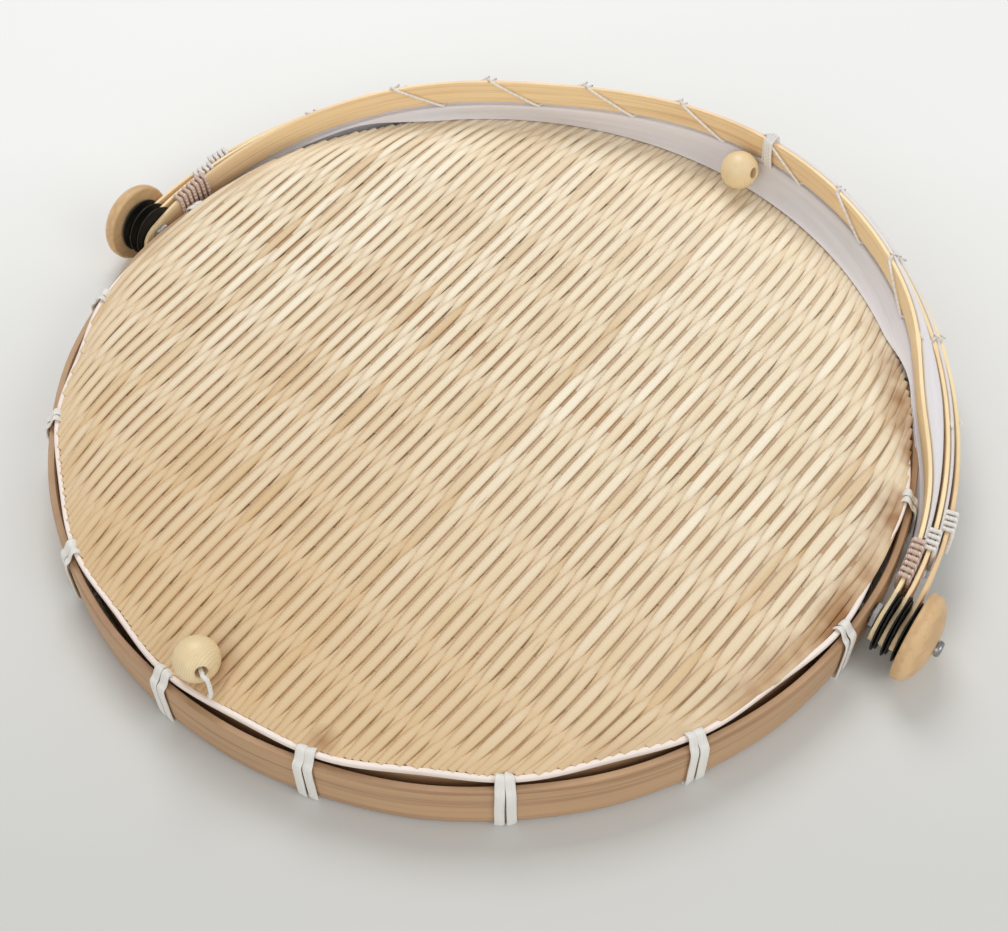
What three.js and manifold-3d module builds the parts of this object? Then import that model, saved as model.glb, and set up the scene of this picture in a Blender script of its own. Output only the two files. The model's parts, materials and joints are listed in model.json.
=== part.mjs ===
// Round bamboo serving tray with a folding gauze hood.
// A woven mat is lashed between bent hoops. Three bamboo ribs with two gauze panels between
// them pivot on a screw at each side, and are shown folded back behind the tray.
// Millimetres, +X along the pivot axis, +Y towards the folded hood, +Z up.
import * as THREE from 'three';
import { mergeVertices } from 'three/addons/utils/BufferGeometryUtils.js';
import Module from 'manifold-3d';

const wasm = await Module();
wasm.setup();

// Fits
const CLEARANCE = 0.3; // between pieces that rest on or turn beside each other
const WINDING_CLEARANCE = 0.35; // between a thread and what it is wound round
const SCREW_FIT = 0.3; // between the pivot screw and its holes

// Rim
const HOOP_RADIUS = 150; // outside of the outer hoop
const HOOP_WALL = 3;
const HOOP_HEIGHT = 19.3;
const RIM_GAP = 0.6; // dark gap between the outer hoop and the edge strip
const STRIP_WALL = 1.5;
const STRIP_HEIGHT = 0.8; // above the mat's edge
const INNER_WALL = 2.2;
const INNER_HEIGHT = 2.2; // above the inner nut
const HOOP_SIDES = 60;

// Lashings of flat strip round the rim
const TIE_COUNT = 16;
const TIE_FIRST_ANGLE = -96; // degrees from +X
const TIE_WIDTH = 3;
const TIE_THICKNESS = 0.9;
const TIE_TURN_GAP = 0.5;

// Woven mat
const MAT_THICKNESS = 2.4;
const MAT_RISE = 2.2; // centre above edge
const MAT_DROOP = 26; // width of the edge that bends down
const MAT_DROOP_SHARE = 0.78; // share of the rise that lies in that edge
const WEFT_PITCH = 2.4;
const WARP_PITCH = 23.5;
const WEAVE_RELIEF = 1.1;

// Pivots
const PIVOT_HEIGHT = 15.5;
const SCREW_RADIUS = 2;
const SCREW_HEAD_RADIUS = 2.7;
const SCREW_HEAD_HEIGHT = 1.7;
const SCREW_TAIL = 1.2; // past the inner nut
const INNER_NUT_RADIUS = 3.4;
const INNER_NUT_WIDTH = 3;
const SPACER_NUT_RADIUS = 4.6;
const SPACER_NUT_WIDTH = 2;
const WASHER_RADIUS = 10.5;
const WASHER_THICKNESS = 1.4;
const BUTTON_RADIUS = 15;
const BUTTON_HEIGHT = 8.5;
const BUTTON_RIM = 2.2; // height of the straight edge of the button

// Hood ribs
const RIB_THICKNESS = 1.6;
const RIB_WIDTH = 11;
const RIB_TAIL = 8; // past the pivot
const RIB_SHOULDER = 8; // how straight a rib stands up from its pivot
const LEADING_DRAW = 3.2; // how far the bend is drawn in from a half circle
const MIDDLE_DRAW = 1.6;
const LEADING_LEAN = 8; // sideways lean of the bend towards +X
const MIDDLE_LEAN = 6.5;
const BACK_LEAN = 5;
const LEADING_PINCH = 3.8; // dent of the leading rib over the rim
const PINCH_ANGLE = 31; // degrees along the rib
const PINCH_SPREAD = 8;
const LEADING_REST = 11; // degrees above level when folded back
const MIDDLE_REST = 8;
const BACK_REST = 5;
const RIB_STEPS = 36;

// Threads on the ribs
const LACING_DIAMETER = 0.8;
const LACING_PITCH = 38;
const LEADING_LACING_START = 34; // degrees along the rib
const LACING_START = 20;
const WHIPPING_DIAMETER = 0.9;
const LEADING_WHIPPING_TURNS = 7;
const WHIPPING_TURNS = 4;
const WHIPPING_PITCH = 2.2;
const LEADING_WHIPPING = 13; // from the pivot to the first turn
const MIDDLE_WHIPPING = 31;
const BACK_WHIPPING = 44;
const THREAD_SIDES = 4;

// Beads that close the hood
const BEAD_RADIUS = 7.2;
const BEAD_BORE = 2;
const BEAD_CORD_DIAMETER = 1.6;
const BEAD_CORD_REACH = 3.2; // loop past one end of the bore
const BEAD_CORD_STUB = 1.5; // end past the other
const BEAD_CORD_SPREAD = 4; // seat of the cord beside the bead's middle
const TRAY_BEAD_ANGLE = -92.3;
const TRAY_BEAD_INSET = 1.4; // inside the edge strip
const LID_BEAD_ANGLE = 84;
const LID_BEAD_INSET = 11.8; // inside the leading rib
const LID_BEAD_DROP = 8.2; // below the rib's middle

// Gauze panels
const GAUZE_THICKNESS = 0.6;
const GAUZE_START = 11; // degrees along the rib
const GAUZE_DRAPE = 4.5; // how far the front panel hangs inside the leading rib
const GAUZE_DRAPE_FULL = 8; // height of the hem above the rim from which it hangs fully
const GAUZE_SLACK = 1.2; // how far a panel's far edge hangs below the next rib
const GAUZE_STEPS = 30;

// Places worked out from the sizes above
const base = TIE_THICKNESS + CLEARANCE;
const hoop_top = base + HOOP_HEIGHT;
const hoop_inside = HOOP_RADIUS - HOOP_WALL;
const strip_outside = hoop_inside - RIM_GAP;
const strip_inside = strip_outside - STRIP_WALL;
const mat_radius = strip_inside - CLEARANCE;
const inner_inside = mat_radius - INNER_WALL;
const inner_top = PIVOT_HEIGHT + INNER_NUT_RADIUS + INNER_HEIGHT;
const mat_edge_top = inner_top + CLEARANCE + MAT_THICKNESS;
const strip_top = mat_edge_top + STRIP_HEIGHT;
const tie_pitch = TIE_WIDTH + TIE_TURN_GAP;
const tie_inside = inner_inside - CLEARANCE - TIE_THICKNESS / 2;
const tie_outside = HOOP_RADIUS + CLEARANCE + TIE_THICKNESS / 2;
const spacer_start = HOOP_RADIUS + CLEARANCE;
const rib_pitch = RIB_THICKNESS + WASHER_THICKNESS + 2 * CLEARANCE;
const leading_end = spacer_start + SPACER_NUT_WIDTH + CLEARANCE + RIB_THICKNESS / 2;
const middle_end = leading_end + rib_pitch;
const back_end = middle_end + rib_pitch;
const button_start = back_end + rib_pitch - RIB_THICKNESS / 2;
const screw_hole = SCREW_RADIUS + SCREW_FIT;
const hem_drop = RIB_WIDTH / 2 + 2 * WINDING_CLEARANCE + LACING_DIAMETER + GAUZE_THICKNESS / 2;
const front_fold = rest_step(middle_end, LEADING_REST - MIDDLE_REST) + GAUZE_SLACK;
const rear_fold = rest_step(back_end, MIDDLE_REST - BACK_REST) + GAUZE_SLACK;
const tie_top = strip_top + CLEARANCE + TIE_THICKNESS;
const gauze_outside = tie_outside + TIE_THICKNESS / 2 + CLEARANCE + GAUZE_THICKNESS / 2;
const gauze_low = tie_top + CLEARANCE + GAUZE_THICKNESS / 2;
const leading = { end: leading_end, draw: LEADING_DRAW, lean: LEADING_LEAN, pinch: LEADING_PINCH };
const middle = { end: middle_end, draw: MIDDLE_DRAW, lean: MIDDLE_LEAN, pinch: 0 };
const back = { end: back_end, draw: 0, lean: BACK_LEAN, pinch: 0 };

// How much lower a rib lies at its bend than the next one, that rests some degrees higher
function rest_step(radius, degrees) {
  return radius * Math.sin(THREE.MathUtils.degToRad(degrees));
}

const finishes = {
  mat: { color: 0xe3cb98, roughness: 0.7 },
  hoop: { color: 0xc8a77c, roughness: 0.6 },
  strip: { color: 0xeadfd8, roughness: 0.7 },
  tie: { color: 0xdcd9cf, roughness: 0.85 },
  rib: { color: 0xc99a5b, roughness: 0.6 },
  thread: { color: 0xe8e4da, roughness: 0.9 },
  twine: { color: 0xb98a63, roughness: 0.9 },
  bead: { color: 0xe6cf9f, roughness: 0.5 },
  button: { color: 0xcfa876, roughness: 0.55 },
  steel: { color: 0x8f9090, roughness: 0.4, metalness: 1 },
  washer: { color: 0x2b2926, roughness: 0.5, metalness: 0.6 },
  gauze: { color: 0xe4dfe4, roughness: 0.9 },
};

function piece(name, geometry, finish) {
  const mesh = new THREE.Mesh(geometry, new THREE.MeshStandardMaterial(finish));
  mesh.name = name;
  return mesh;
}

// Solids for cuts and joins

function solid_of(geometry) {
  const bare = geometry.clone();
  bare.deleteAttribute('normal');
  bare.deleteAttribute('uv');
  const merged = mergeVertices(bare, 1e-4);
  return new wasm.Manifold(new wasm.Mesh({
    numProp: 3,
    vertProperties: new Float32Array(merged.attributes.position.array),
    triVerts: new Uint32Array(merged.index.array),
  }));
}

function geometry_of(solid) {
  const mesh = solid.getMesh();
  const geometry = new THREE.BufferGeometry();
  geometry.setAttribute('position', new THREE.BufferAttribute(mesh.vertProperties, 3));
  geometry.setIndex(new THREE.BufferAttribute(mesh.triVerts, 1));
  geometry.computeVertexNormals();
  return geometry;
}

// A ring of the given wall and height, standing on the given level
function ring(inside, outside, bottom, top, sides) {
  const profile = [[inside, bottom], [outside, bottom], [outside, top], [inside, top], [inside, bottom]];
  const geometry = new THREE.LatheGeometry(profile.map(([r, z]) => new THREE.Vector2(r, z)), sides);
  return geometry.rotateX(Math.PI / 2);
}

// A turned solid whose axis lies along +X, from a profile of [radius, distance along the axis]
function turned(profile, sides) {
  const geometry = new THREE.LatheGeometry(profile.map(([r, x]) => new THREE.Vector2(r, x)), sides);
  return geometry.rotateZ(-Math.PI / 2);
}

// A closed skin through rings of equally many points. Each end is closed by strips between
// the first and second half of its ring, so a ring may be a bent sheet's outline.
function loft(rings) {
  const count = rings[0].length;
  const positions = rings.flat().flatMap((p) => [p.x, p.y, p.z]);
  const faces = [];
  const quad = (a, b, c, d) => faces.push(a, b, c, a, c, d);
  for (let i = 0; i + 1 < rings.length; i++) {
    for (let j = 0; j < count; j++) {
      const k = (j + 1) % count;
      quad(i * count + j, i * count + k, (i + 1) * count + k, (i + 1) * count + j);
    }
  }
  const last = (rings.length - 1) * count;
  for (let j = 0; j < count / 2 - 1; j++) {
    quad(count - 1 - j, count - 2 - j, j + 1, j);
    quad(last + j, last + j + 1, last + count - 2 - j, last + count - 1 - j);
  }
  const geometry = new THREE.BufferGeometry();
  geometry.setAttribute('position', new THREE.Float32BufferAttribute(positions, 3));
  geometry.setIndex(facing_out(positions, faces));
  geometry.computeVertexNormals();
  return geometry;
}

function facing_out(positions, faces) {
  const corner = (i) => new THREE.Vector3().fromArray(positions, 3 * faces[i]);
  let volume = 0;
  for (let i = 0; i < faces.length; i += 3) {
    volume += corner(i).dot(corner(i + 1).cross(corner(i + 2)));
  }
  return volume > 0 ? faces : faces.reverse();
}

// A tube through points, its section turned along the path without twist
function tube(points, radius, sides) {
  const tangents = points.map((p, i) => {
    const before = points[Math.max(i - 1, 0)];
    const after = points[Math.min(i + 1, points.length - 1)];
    return after.clone().sub(before).normalize();
  });
  const across = new THREE.Vector3(0, 0, 1);
  if (Math.abs(across.dot(tangents[0])) > 0.9) across.set(1, 0, 0);
  const rings = points.map((p, i) => {
    across.addScaledVector(tangents[i], -across.dot(tangents[i])).normalize();
    const side = tangents[i].clone().cross(across);
    return Array.from({ length: sides }, (_, j) => {
      const turn = (2 * Math.PI * (j + 0.5)) / sides;
      return p.clone()
        .addScaledVector(across, radius * Math.cos(turn))
        .addScaledVector(side, radius * Math.sin(turn));
    });
  });
  return loft(rings);
}

// Least gap of a winding to itself, on points of its path, past the turns next to each point
function print_least_gap(name, points, width, turn_points) {
  let least = Infinity;
  for (let i = 0; i < points.length; i++) {
    for (let j = i + Math.ceil(turn_points / 2); j < points.length; j++) {
      least = Math.min(least, points[i].distanceTo(points[j]) - width);
    }
  }
  console.log(`${name}: least gap to itself ${least.toFixed(2)} mm`);
}

// Rim

function drilled(geometry) {
  const drill = new THREE.CylinderGeometry(screw_hole, screw_hole, 2.2 * HOOP_RADIUS, 12);
  drill.rotateZ(Math.PI / 2).translate(0, 0, PIVOT_HEIGHT);
  return geometry_of(solid_of(geometry).subtract(solid_of(drill)));
}

function rim() {
  const group = new THREE.Group();
  const outer = ring(hoop_inside, HOOP_RADIUS, base, hoop_top, HOOP_SIDES);
  const strip = ring(strip_inside, strip_outside, base, strip_top, HOOP_SIDES);
  const inner = ring(inner_inside, mat_radius, base, inner_top, HOOP_SIDES);
  group.add(piece('outer_hoop', drilled(outer), finishes.hoop));
  group.add(piece('edge_strip', drilled(strip), finishes.strip));
  group.add(piece('inner_hoop', drilled(inner), finishes.hoop));
  return group;
}

// Height of the mat's top, without the weave
function mat_top(radius) {
  const edge = Math.max(0, radius - (mat_radius - MAT_DROOP)) / MAT_DROOP;
  const crown = (1 - MAT_DROOP_SHARE) * (radius / mat_radius) ** 2;
  return mat_edge_top + MAT_RISE * (1 - crown - MAT_DROOP_SHARE * edge ** 2);
}

// A block whose top is the weave: each weft rises over one warp and dips at the next
function weave_block() {
  const columns = 2 * Math.ceil(mat_radius / WEFT_PITCH / 2) + 2;
  const rows = 2 * Math.ceil(mat_radius / WARP_PITCH) + 1;
  const positions = [];
  const faces = [];
  const at = (i, j) => i * (rows + 1) + j;
  for (let i = 0; i <= 2 * columns; i++) {
    for (let j = 0; j <= rows; j++) {
      const x = (i - columns) * WEFT_PITCH;
      const y = (j - rows / 2) * WARP_PITCH;
      const lift = (i + j) % 2 ? WEAVE_RELIEF : -WEAVE_RELIEF;
      positions.push(x, y, mat_top(Math.hypot(x, y)) + lift);
    }
  }
  for (let i = 0; i < 2 * columns; i++) {
    for (let j = 0; j < rows; j++) {
      const raised = (i + j) % 2;
      const [a, b, c, d] = [at(i, j), at(i + 1, j), at(i + 1, j + 1), at(i, j + 1)];
      if (raised) faces.push(a, b, c, a, c, d);
      else faces.push(a, b, d, b, c, d);
    }
  }
  const rim_loop = [];
  for (let i = 0; i < 2 * columns; i++) rim_loop.push(at(i, 0));
  for (let j = 0; j < rows; j++) rim_loop.push(at(2 * columns, j));
  for (let i = 2 * columns; i > 0; i--) rim_loop.push(at(i, rows));
  for (let j = rows; j > 0; j--) rim_loop.push(at(0, j));
  const floor_centre = positions.length / 3;
  positions.push(0, 0, -20 * mat_radius);
  rim_loop.forEach((a, n) => faces.push(rim_loop[(n + 1) % rim_loop.length], a, floor_centre));
  const geometry = new THREE.BufferGeometry();
  geometry.setAttribute('position', new THREE.Float32BufferAttribute(positions, 3));
  geometry.setIndex(faces);
  return geometry;
}

function tie_angle(k) {
  return THREE.MathUtils.degToRad(TIE_FIRST_ANGLE + (360 / TIE_COUNT) * k);
}

function woven_mat() {
  const levels = [0, 0.45, 0.75, 1 - MAT_DROOP / mat_radius, 1 - MAT_DROOP / mat_radius / 2, 1];
  const under = levels.map((share) => {
    const radius = share * mat_radius;
    return new THREE.Vector2(radius, mat_top(radius) - MAT_THICKNESS);
  });
  const lid = mat_edge_top + MAT_RISE + 4 * WEAVE_RELIEF;
  const profile = [...under, new THREE.Vector2(mat_radius, lid), new THREE.Vector2(0, lid)];
  const bowl = new THREE.LatheGeometry(profile, HOOP_SIDES).rotateX(Math.PI / 2);
  let mat = solid_of(weave_block()).intersect(solid_of(bowl));
  const slot = new THREE.BoxGeometry(
    TIE_THICKNESS + 2 * CLEARANCE, tie_pitch + TIE_WIDTH + 2 * CLEARANCE, 4 * (MAT_THICKNESS + MAT_RISE),
  ).translate(tie_inside, 0, mat_edge_top);
  const shelf_low = strip_top - TIE_THICKNESS / 2 - CLEARANCE;
  const shelf = new THREE.BoxGeometry(
    mat_radius + 1 - tie_inside, tie_pitch + TIE_WIDTH + 2 * CLEARANCE, 4 * MAT_RISE,
  ).translate((mat_radius + 1 + tie_inside) / 2, 0, shelf_low + 2 * MAT_RISE);
  for (let k = 0; k < TIE_COUNT; k++) {
    mat = mat.subtract(solid_of(slot.clone().rotateZ(tie_angle(k))));
    mat = mat.subtract(solid_of(shelf.clone().rotateZ(tie_angle(k))));
  }
  return piece('woven_mat', geometry_of(mat), finishes.mat);
}

// Path of a lashing as [radius, sideways, height, outward normal in radius and height].
// Two turns of flat strip go under the hoops, up outside, over the strip and down through
// the mat. The step from turn to turn is on the hidden inner leg.
function tie_stations() {
  const low = TIE_THICKNESS / 2;
  const rise = CLEARANCE + TIE_THICKNESS / 2;
  const bend = TIE_THICKNESS / 2 + CLEARANCE;
  const slope = Math.hypot(strip_top - hoop_top, HOOP_RADIUS - strip_outside);
  const slope_out = [(strip_top - hoop_top) / slope, (HOOP_RADIUS - strip_outside) / slope];
  const first = -tie_pitch / 2;
  const over = (side) => [
    [tie_outside - bend, side, low, 0, -1],
    [tie_outside, side, low + bend, 1, 0],
    [tie_outside, side, hoop_top - CLEARANCE, 1, 0],
    [HOOP_RADIUS + rise * slope_out[0], side, hoop_top + rise * slope_out[1], ...slope_out],
    [strip_outside + rise * slope_out[0], side, strip_top + rise * slope_out[1], ...slope_out],
    [strip_inside, side, strip_top + rise, 0, 1],
    [tie_inside, side, strip_top + rise - bend, -1, 0],
    [tie_inside, side, inner_top - CLEARANCE, -1, 0],
  ];
  return [
    [tie_inside + bend, first, low, 0, -1],
    ...over(first),
    [tie_inside, first + tie_pitch, low + bend, -1, 0],
    [tie_inside + bend, first + tie_pitch, low, 0, -1],
    ...over(first + tie_pitch),
  ];
}

function ties() {
  const group = new THREE.Group();
  const stations = tie_stations();
  const rings = stations.map(([r, side, z, out_r, out_z]) => {
    const half = TIE_THICKNESS / 2;
    const corner = (across, out) => new THREE.Vector3(
      r + out * half * out_r, side + across * TIE_WIDTH / 2, z + out * half * out_z,
    );
    return [corner(-1, -1), corner(1, -1), corner(1, 1), corner(-1, 1)];
  });
  const path = stations.map(([r, side, z]) => new THREE.Vector3(r, side, z));
  print_least_gap('rim_tie', path, TIE_WIDTH, path.length / 2);
  const geometry = loft(rings);
  for (let k = 0; k < TIE_COUNT; k++) {
    const tie = piece(`rim_tie_${String(k + 1).padStart(2, '0')}`, geometry, finishes.tie);
    tie.rotation.z = tie_angle(k);
    group.add(tie);
  }
  return group;
}

// Pivots

function button_profile() {
  const edge = 1.2;
  return [
    [screw_hole, 0], [BUTTON_RADIUS - edge, 0], [BUTTON_RADIUS, edge], [BUTTON_RADIUS, BUTTON_RIM],
    [0.88 * BUTTON_RADIUS, BUTTON_RIM + 0.4 * (BUTTON_HEIGHT - BUTTON_RIM)],
    [0.63 * BUTTON_RADIUS, BUTTON_RIM + 0.75 * (BUTTON_HEIGHT - BUTTON_RIM)],
    [0.35 * BUTTON_RADIUS, BUTTON_RIM + 0.95 * (BUTTON_HEIGHT - BUTTON_RIM)],
    [screw_hole, BUTTON_HEIGHT], [screw_hole, 0],
  ];
}

function collar(radius, width, sides) {
  return turned([[screw_hole, 0], [radius, 0], [radius, width], [screw_hole, width], [screw_hole, 0]], sides);
}

function pivot(side, facing) {
  const group = new THREE.Group();
  const place = (name, geometry, start, finish) => {
    const mesh = piece(`${side}_${name}`, geometry, finish);
    mesh.position.x = start;
    group.add(mesh);
  };
  const nut_start = inner_inside - CLEARANCE - INNER_NUT_WIDTH;
  const tail = nut_start - SCREW_TAIL;
  const head = button_start + BUTTON_HEIGHT + CLEARANCE - tail;
  const screw = turned([
    [0, 0], [SCREW_RADIUS, 0], [SCREW_RADIUS, head], [SCREW_HEAD_RADIUS, head],
    [SCREW_HEAD_RADIUS, head + 0.5 * SCREW_HEAD_HEIGHT],
    [0.7 * SCREW_HEAD_RADIUS, head + 0.88 * SCREW_HEAD_HEIGHT], [0, head + SCREW_HEAD_HEIGHT],
  ], 12);
  place('pivot_screw', screw, tail, finishes.steel);
  place('inner_nut', collar(INNER_NUT_RADIUS, INNER_NUT_WIDTH, 6), nut_start, finishes.steel);
  place('spacer_nut', collar(SPACER_NUT_RADIUS, SPACER_NUT_WIDTH, 6), spacer_start, finishes.steel);
  [leading_end, middle_end, back_end].forEach((end, n) => {
    const start = end + RIB_THICKNESS / 2 + CLEARANCE;
    place(`washer_${n + 1}`, collar(WASHER_RADIUS, WASHER_THICKNESS, 14), start, finishes.washer);
  });
  place('wooden_button', turned(button_profile(), 20), button_start, finishes.button);
  group.position.z = PIVOT_HEIGHT;
  group.rotation.z = facing > 0 ? 0 : Math.PI;
  return group;
}

// Ribs lie in their own plane: x along the pivot axis, y out to the bend, z across the width

// Point on a rib's centre line, at an angle along it from the +X pivot
function rib_point({ end, draw, lean, pinch }, angle) {
  const rise = Math.max(Math.sin(angle), 0);
  const dent = (THREE.MathUtils.radToDeg(angle) - PINCH_ANGLE) / PINCH_SPREAD;
  const shoulder = RIB_SHOULDER * rise * (1 - rise) ** 3;
  const radius = end + shoulder - draw * rise ** 2 - pinch * Math.exp(-(dent ** 2));
  return new THREE.Vector3(radius * Math.cos(angle) + lean * rise ** 4, radius * rise, 0);
}

function rib_out(shape, angle) {
  const step = 0.01;
  const along = rib_point(shape, angle + step).sub(rib_point(shape, angle - step));
  return new THREE.Vector3(along.y, -along.x, 0).normalize();
}

function rib_section(point, out, width) {
  const corner = (a, b) => point.clone()
    .addScaledVector(out, a * RIB_THICKNESS / 2)
    .add(new THREE.Vector3(0, 0, b * width / 2));
  return [corner(-1, -1), corner(1, -1), corner(1, 1), corner(-1, 1)];
}

function rib(name, shape) {
  const tail = (facing) => [1, 0.93, 0.7, 0.3].map((share) => {
    const width = RIB_WIDTH * Math.sqrt(1.04 - share ** 2);
    const point = new THREE.Vector3(facing * shape.end, -RIB_TAIL * share, 0);
    return rib_section(point, new THREE.Vector3(facing, 0, 0), width);
  });
  const bend = Array.from({ length: RIB_STEPS + 1 }, (_, i) => {
    const angle = (Math.PI * i) / RIB_STEPS;
    const turned_out = i % RIB_STEPS ? rib_out(shape, angle) : new THREE.Vector3(Math.cos(angle), 0, 0);
    return rib_section(rib_point(shape, angle), turned_out, RIB_WIDTH);
  });
  const far_tail = tail(-1).reverse();
  return piece(name, drilled_rib(loft([...tail(1), ...bend, ...far_tail])), finishes.rib);
}

function drilled_rib(geometry) {
  const drill = new THREE.CylinderGeometry(screw_hole, screw_hole, 3 * HOOP_RADIUS, 12).rotateZ(Math.PI / 2);
  return geometry_of(solid_of(geometry).subtract(solid_of(drill)));
}

// A thread wound round a rib: the corners of one turn as [across thickness, across width, share of turn]
function winding(name, shape, thread, first_angle, turn_angle, turns, finish) {
  const thick = RIB_THICKNESS / 2;
  const wide = RIB_WIDTH / 2;
  const out = thick + WINDING_CLEARANCE + thread / 2;
  const past = wide + WINDING_CLEARANCE + thread / 2;
  const turn = [
    [out, -wide, 0], [out, wide, 0.4], [thick, past, 0.43], [-thick, past, 0.47],
    [-out, wide, 0.5], [-out, -wide, 0.9], [-thick, -past, 0.93], [thick, -past, 0.97],
  ];
  const points = [];
  for (let n = 0; n < turns; n++) {
    for (const [across, height, share] of turn) {
      const angle = first_angle + turn_angle * (n + share);
      const point = rib_point(shape, angle).addScaledVector(rib_out(shape, angle), across);
      points.push(point.setZ(height));
    }
  }
  print_least_gap(name, points, thread, turn.length);
  return piece(name, tube(points, thread / 2, THREAD_SIDES), finish);
}

// Counted out both ways from the lid bead's cord, which is tied between two crossings of the inner face
function lacing(name, shape, start_degrees) {
  const start = THREE.MathUtils.degToRad(start_degrees);
  const turn_angle = LACING_PITCH / shape.end;
  const cord = THREE.MathUtils.degToRad(LID_BEAD_ANGLE) + BEAD_CORD_SPREAD / leading_end;
  const knot = cord - 0.2 * turn_angle;
  const before = Math.floor((knot - start) / turn_angle);
  const after = Math.floor((Math.PI - start - knot) / turn_angle);
  const first = knot - before * turn_angle;
  return winding(name, shape, LACING_DIAMETER, first, turn_angle, before + after, finishes.thread);
}

function whippings(prefix, shape, from_pivot, turns, finish) {
  const turn_angle = WHIPPING_PITCH / shape.end;
  const first = from_pivot / shape.end;
  const last = Math.PI - first - turn_angle * turns;
  return [['right', first], ['left', last]].map(([side, angle]) => (
    winding(`${prefix}_${side}_whipping`, shape, WHIPPING_DIAMETER, angle, turn_angle, turns, finish)
  ));
}

function rib_frame(rest) {
  const frame = new THREE.Group();
  frame.position.z = PIVOT_HEIGHT;
  frame.rotation.x = THREE.MathUtils.degToRad(rest);
  return frame;
}

// Beads

function bead(name) {
  const turns = 8;
  const start = Math.asin(BEAD_BORE / BEAD_RADIUS);
  const profile = Array.from({ length: turns + 1 }, (_, i) => {
    const angle = start + ((Math.PI - 2 * start) * i) / turns;
    return [BEAD_RADIUS * Math.sin(angle), -BEAD_RADIUS * Math.cos(angle)];
  });
  return piece(name, turned([...profile, profile[0]], 14), finishes.bead);
}

// A hook of cord from a seat beside the bead, through its bore and just out at the far end.
// The seat is at the given distance out and height from the bead's centre.
function bead_cord(name, seat_out, seat_height) {
  const reach = BEAD_RADIUS + BEAD_CORD_REACH;
  const curve = new THREE.CatmullRomCurve3([
    new THREE.Vector3(-BEAD_CORD_SPREAD, seat_out, seat_height),
    new THREE.Vector3(-0.7 * reach, 0.85 * seat_out, 0.9 * seat_height),
    new THREE.Vector3(-reach, 0.5 * seat_out, 0.5 * seat_height),
    new THREE.Vector3(-0.95 * reach, 0.1 * seat_out, 0.1 * seat_height),
    new THREE.Vector3(-BEAD_RADIUS, 0, 0),
    new THREE.Vector3(0, 0, 0),
    new THREE.Vector3(BEAD_RADIUS + BEAD_CORD_STUB, 0, 0),
  ]);
  return piece(name, tube(curve.getSpacedPoints(15), BEAD_CORD_DIAMETER / 2, 6), finishes.thread);
}

function tray_bead() {
  const group = new THREE.Group();
  const angle = THREE.MathUtils.degToRad(TRAY_BEAD_ANGLE);
  const radius = strip_inside - TRAY_BEAD_INSET;
  const rest = BEAD_RADIUS + CLEARANCE;
  const on_strip = strip_top + Math.sqrt(rest ** 2 - TRAY_BEAD_INSET ** 2);
  const on_mat = mat_top(radius) + WEAVE_RELIEF + rest;
  const height = Math.max(on_strip, on_mat);
  const seat_out = (strip_inside + strip_outside) / 2 - radius;
  const seat_height = strip_top + CLEARANCE + BEAD_CORD_DIAMETER / 2 - height;
  group.add(bead('tray_bead'));
  group.add(bead_cord('tray_bead_cord', seat_out, seat_height));
  group.position.set(radius * Math.cos(angle), radius * Math.sin(angle), height);
  group.rotation.z = angle - Math.PI / 2;
  return group;
}

function lid_bead() {
  const group = new THREE.Group();
  const angle = THREE.MathUtils.degToRad(LID_BEAD_ANGLE);
  const inward = rib_out(leading, angle).negate();
  group.position.copy(rib_point(leading, angle)).addScaledVector(inward, LID_BEAD_INSET);
  group.position.z = -LID_BEAD_DROP;
  group.rotation.z = Math.atan2(-inward.y, -inward.x) - Math.PI / 2;
  const reach = LID_BEAD_INSET - RIB_THICKNESS / 2 - CLEARANCE - BEAD_CORD_DIAMETER / 2;
  group.add(bead('lid_bead'));
  group.add(bead_cord('lid_bead_cord', reach, LID_BEAD_DROP));
  return group;
}

// Gauze panels, in the plane of the leading rib. A fold line is [radius, height].

function gauze_panel(name, fold_lines) {
  const first = THREE.MathUtils.degToRad(GAUZE_START);
  const rings = Array.from({ length: GAUZE_STEPS + 1 }, (_, i) => {
    const angle = first + ((Math.PI - 2 * first) * i) / GAUZE_STEPS;
    const lines = fold_lines(angle);
    const sides = [1, -1].map((face) => lines.map(([point, height], n) => {
      const [before, before_height] = lines[Math.max(n - 1, 0)];
      const [after, after_height] = lines[Math.min(n + 1, lines.length - 1)];
      const out = rib_out(leading, angle);
      const run = after.clone().sub(before).dot(out);
      const rise = after_height - before_height;
      const length = Math.hypot(run, rise);
      const offset = (face * GAUZE_THICKNESS) / 2 / length;
      return point.clone().addScaledVector(out, offset * rise).setZ(height - offset * run);
    }));
    return [...sides[0], ...sides[1].reverse()];
  });
  return piece(name, loft(rings), finishes.gauze);
}

// Hangs from the leading rib. Near the pivots it runs down outside the rim, and at the back it
// drapes in onto the rim first, then out to the middle rib.
function front_panel_lines(angle) {
  const seat = rib_point(leading, angle);
  const out = rib_out(leading, angle);
  const rest = THREE.MathUtils.degToRad(LEADING_REST);
  const hem = PIVOT_HEIGHT + seat.y * Math.sin(rest) - hem_drop * Math.cos(rest);
  const sag = Math.max(0, hem - GAUZE_DRAPE * Math.sin(rest) - gauze_low);
  const draped = THREE.MathUtils.smoothstep(sag, 0, GAUZE_DRAPE_FULL);
  const clear = Math.max(0, gauze_outside - seat.length());
  const hang = (side_fall, back_reach, back_fall) => {
    const reach = THREE.MathUtils.lerp(clear, back_reach, draped);
    const fall = THREE.MathUtils.lerp(side_fall * front_fold, back_fall * sag, draped);
    return [seat.clone().addScaledVector(out, reach), -hem_drop - fall];
  };
  return [
    hang(0, 0, 0), hang(0.1, -0.5 * GAUZE_DRAPE, 0.4), hang(0.2, -GAUZE_DRAPE, 0.85),
    hang(0.32, -0.8 * GAUZE_DRAPE, 1), hang(0.45, 0, 1), hang(0.65, 2.2, 1),
    [rib_point(middle, angle), -hem_drop - front_fold],
  ];
}

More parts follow.
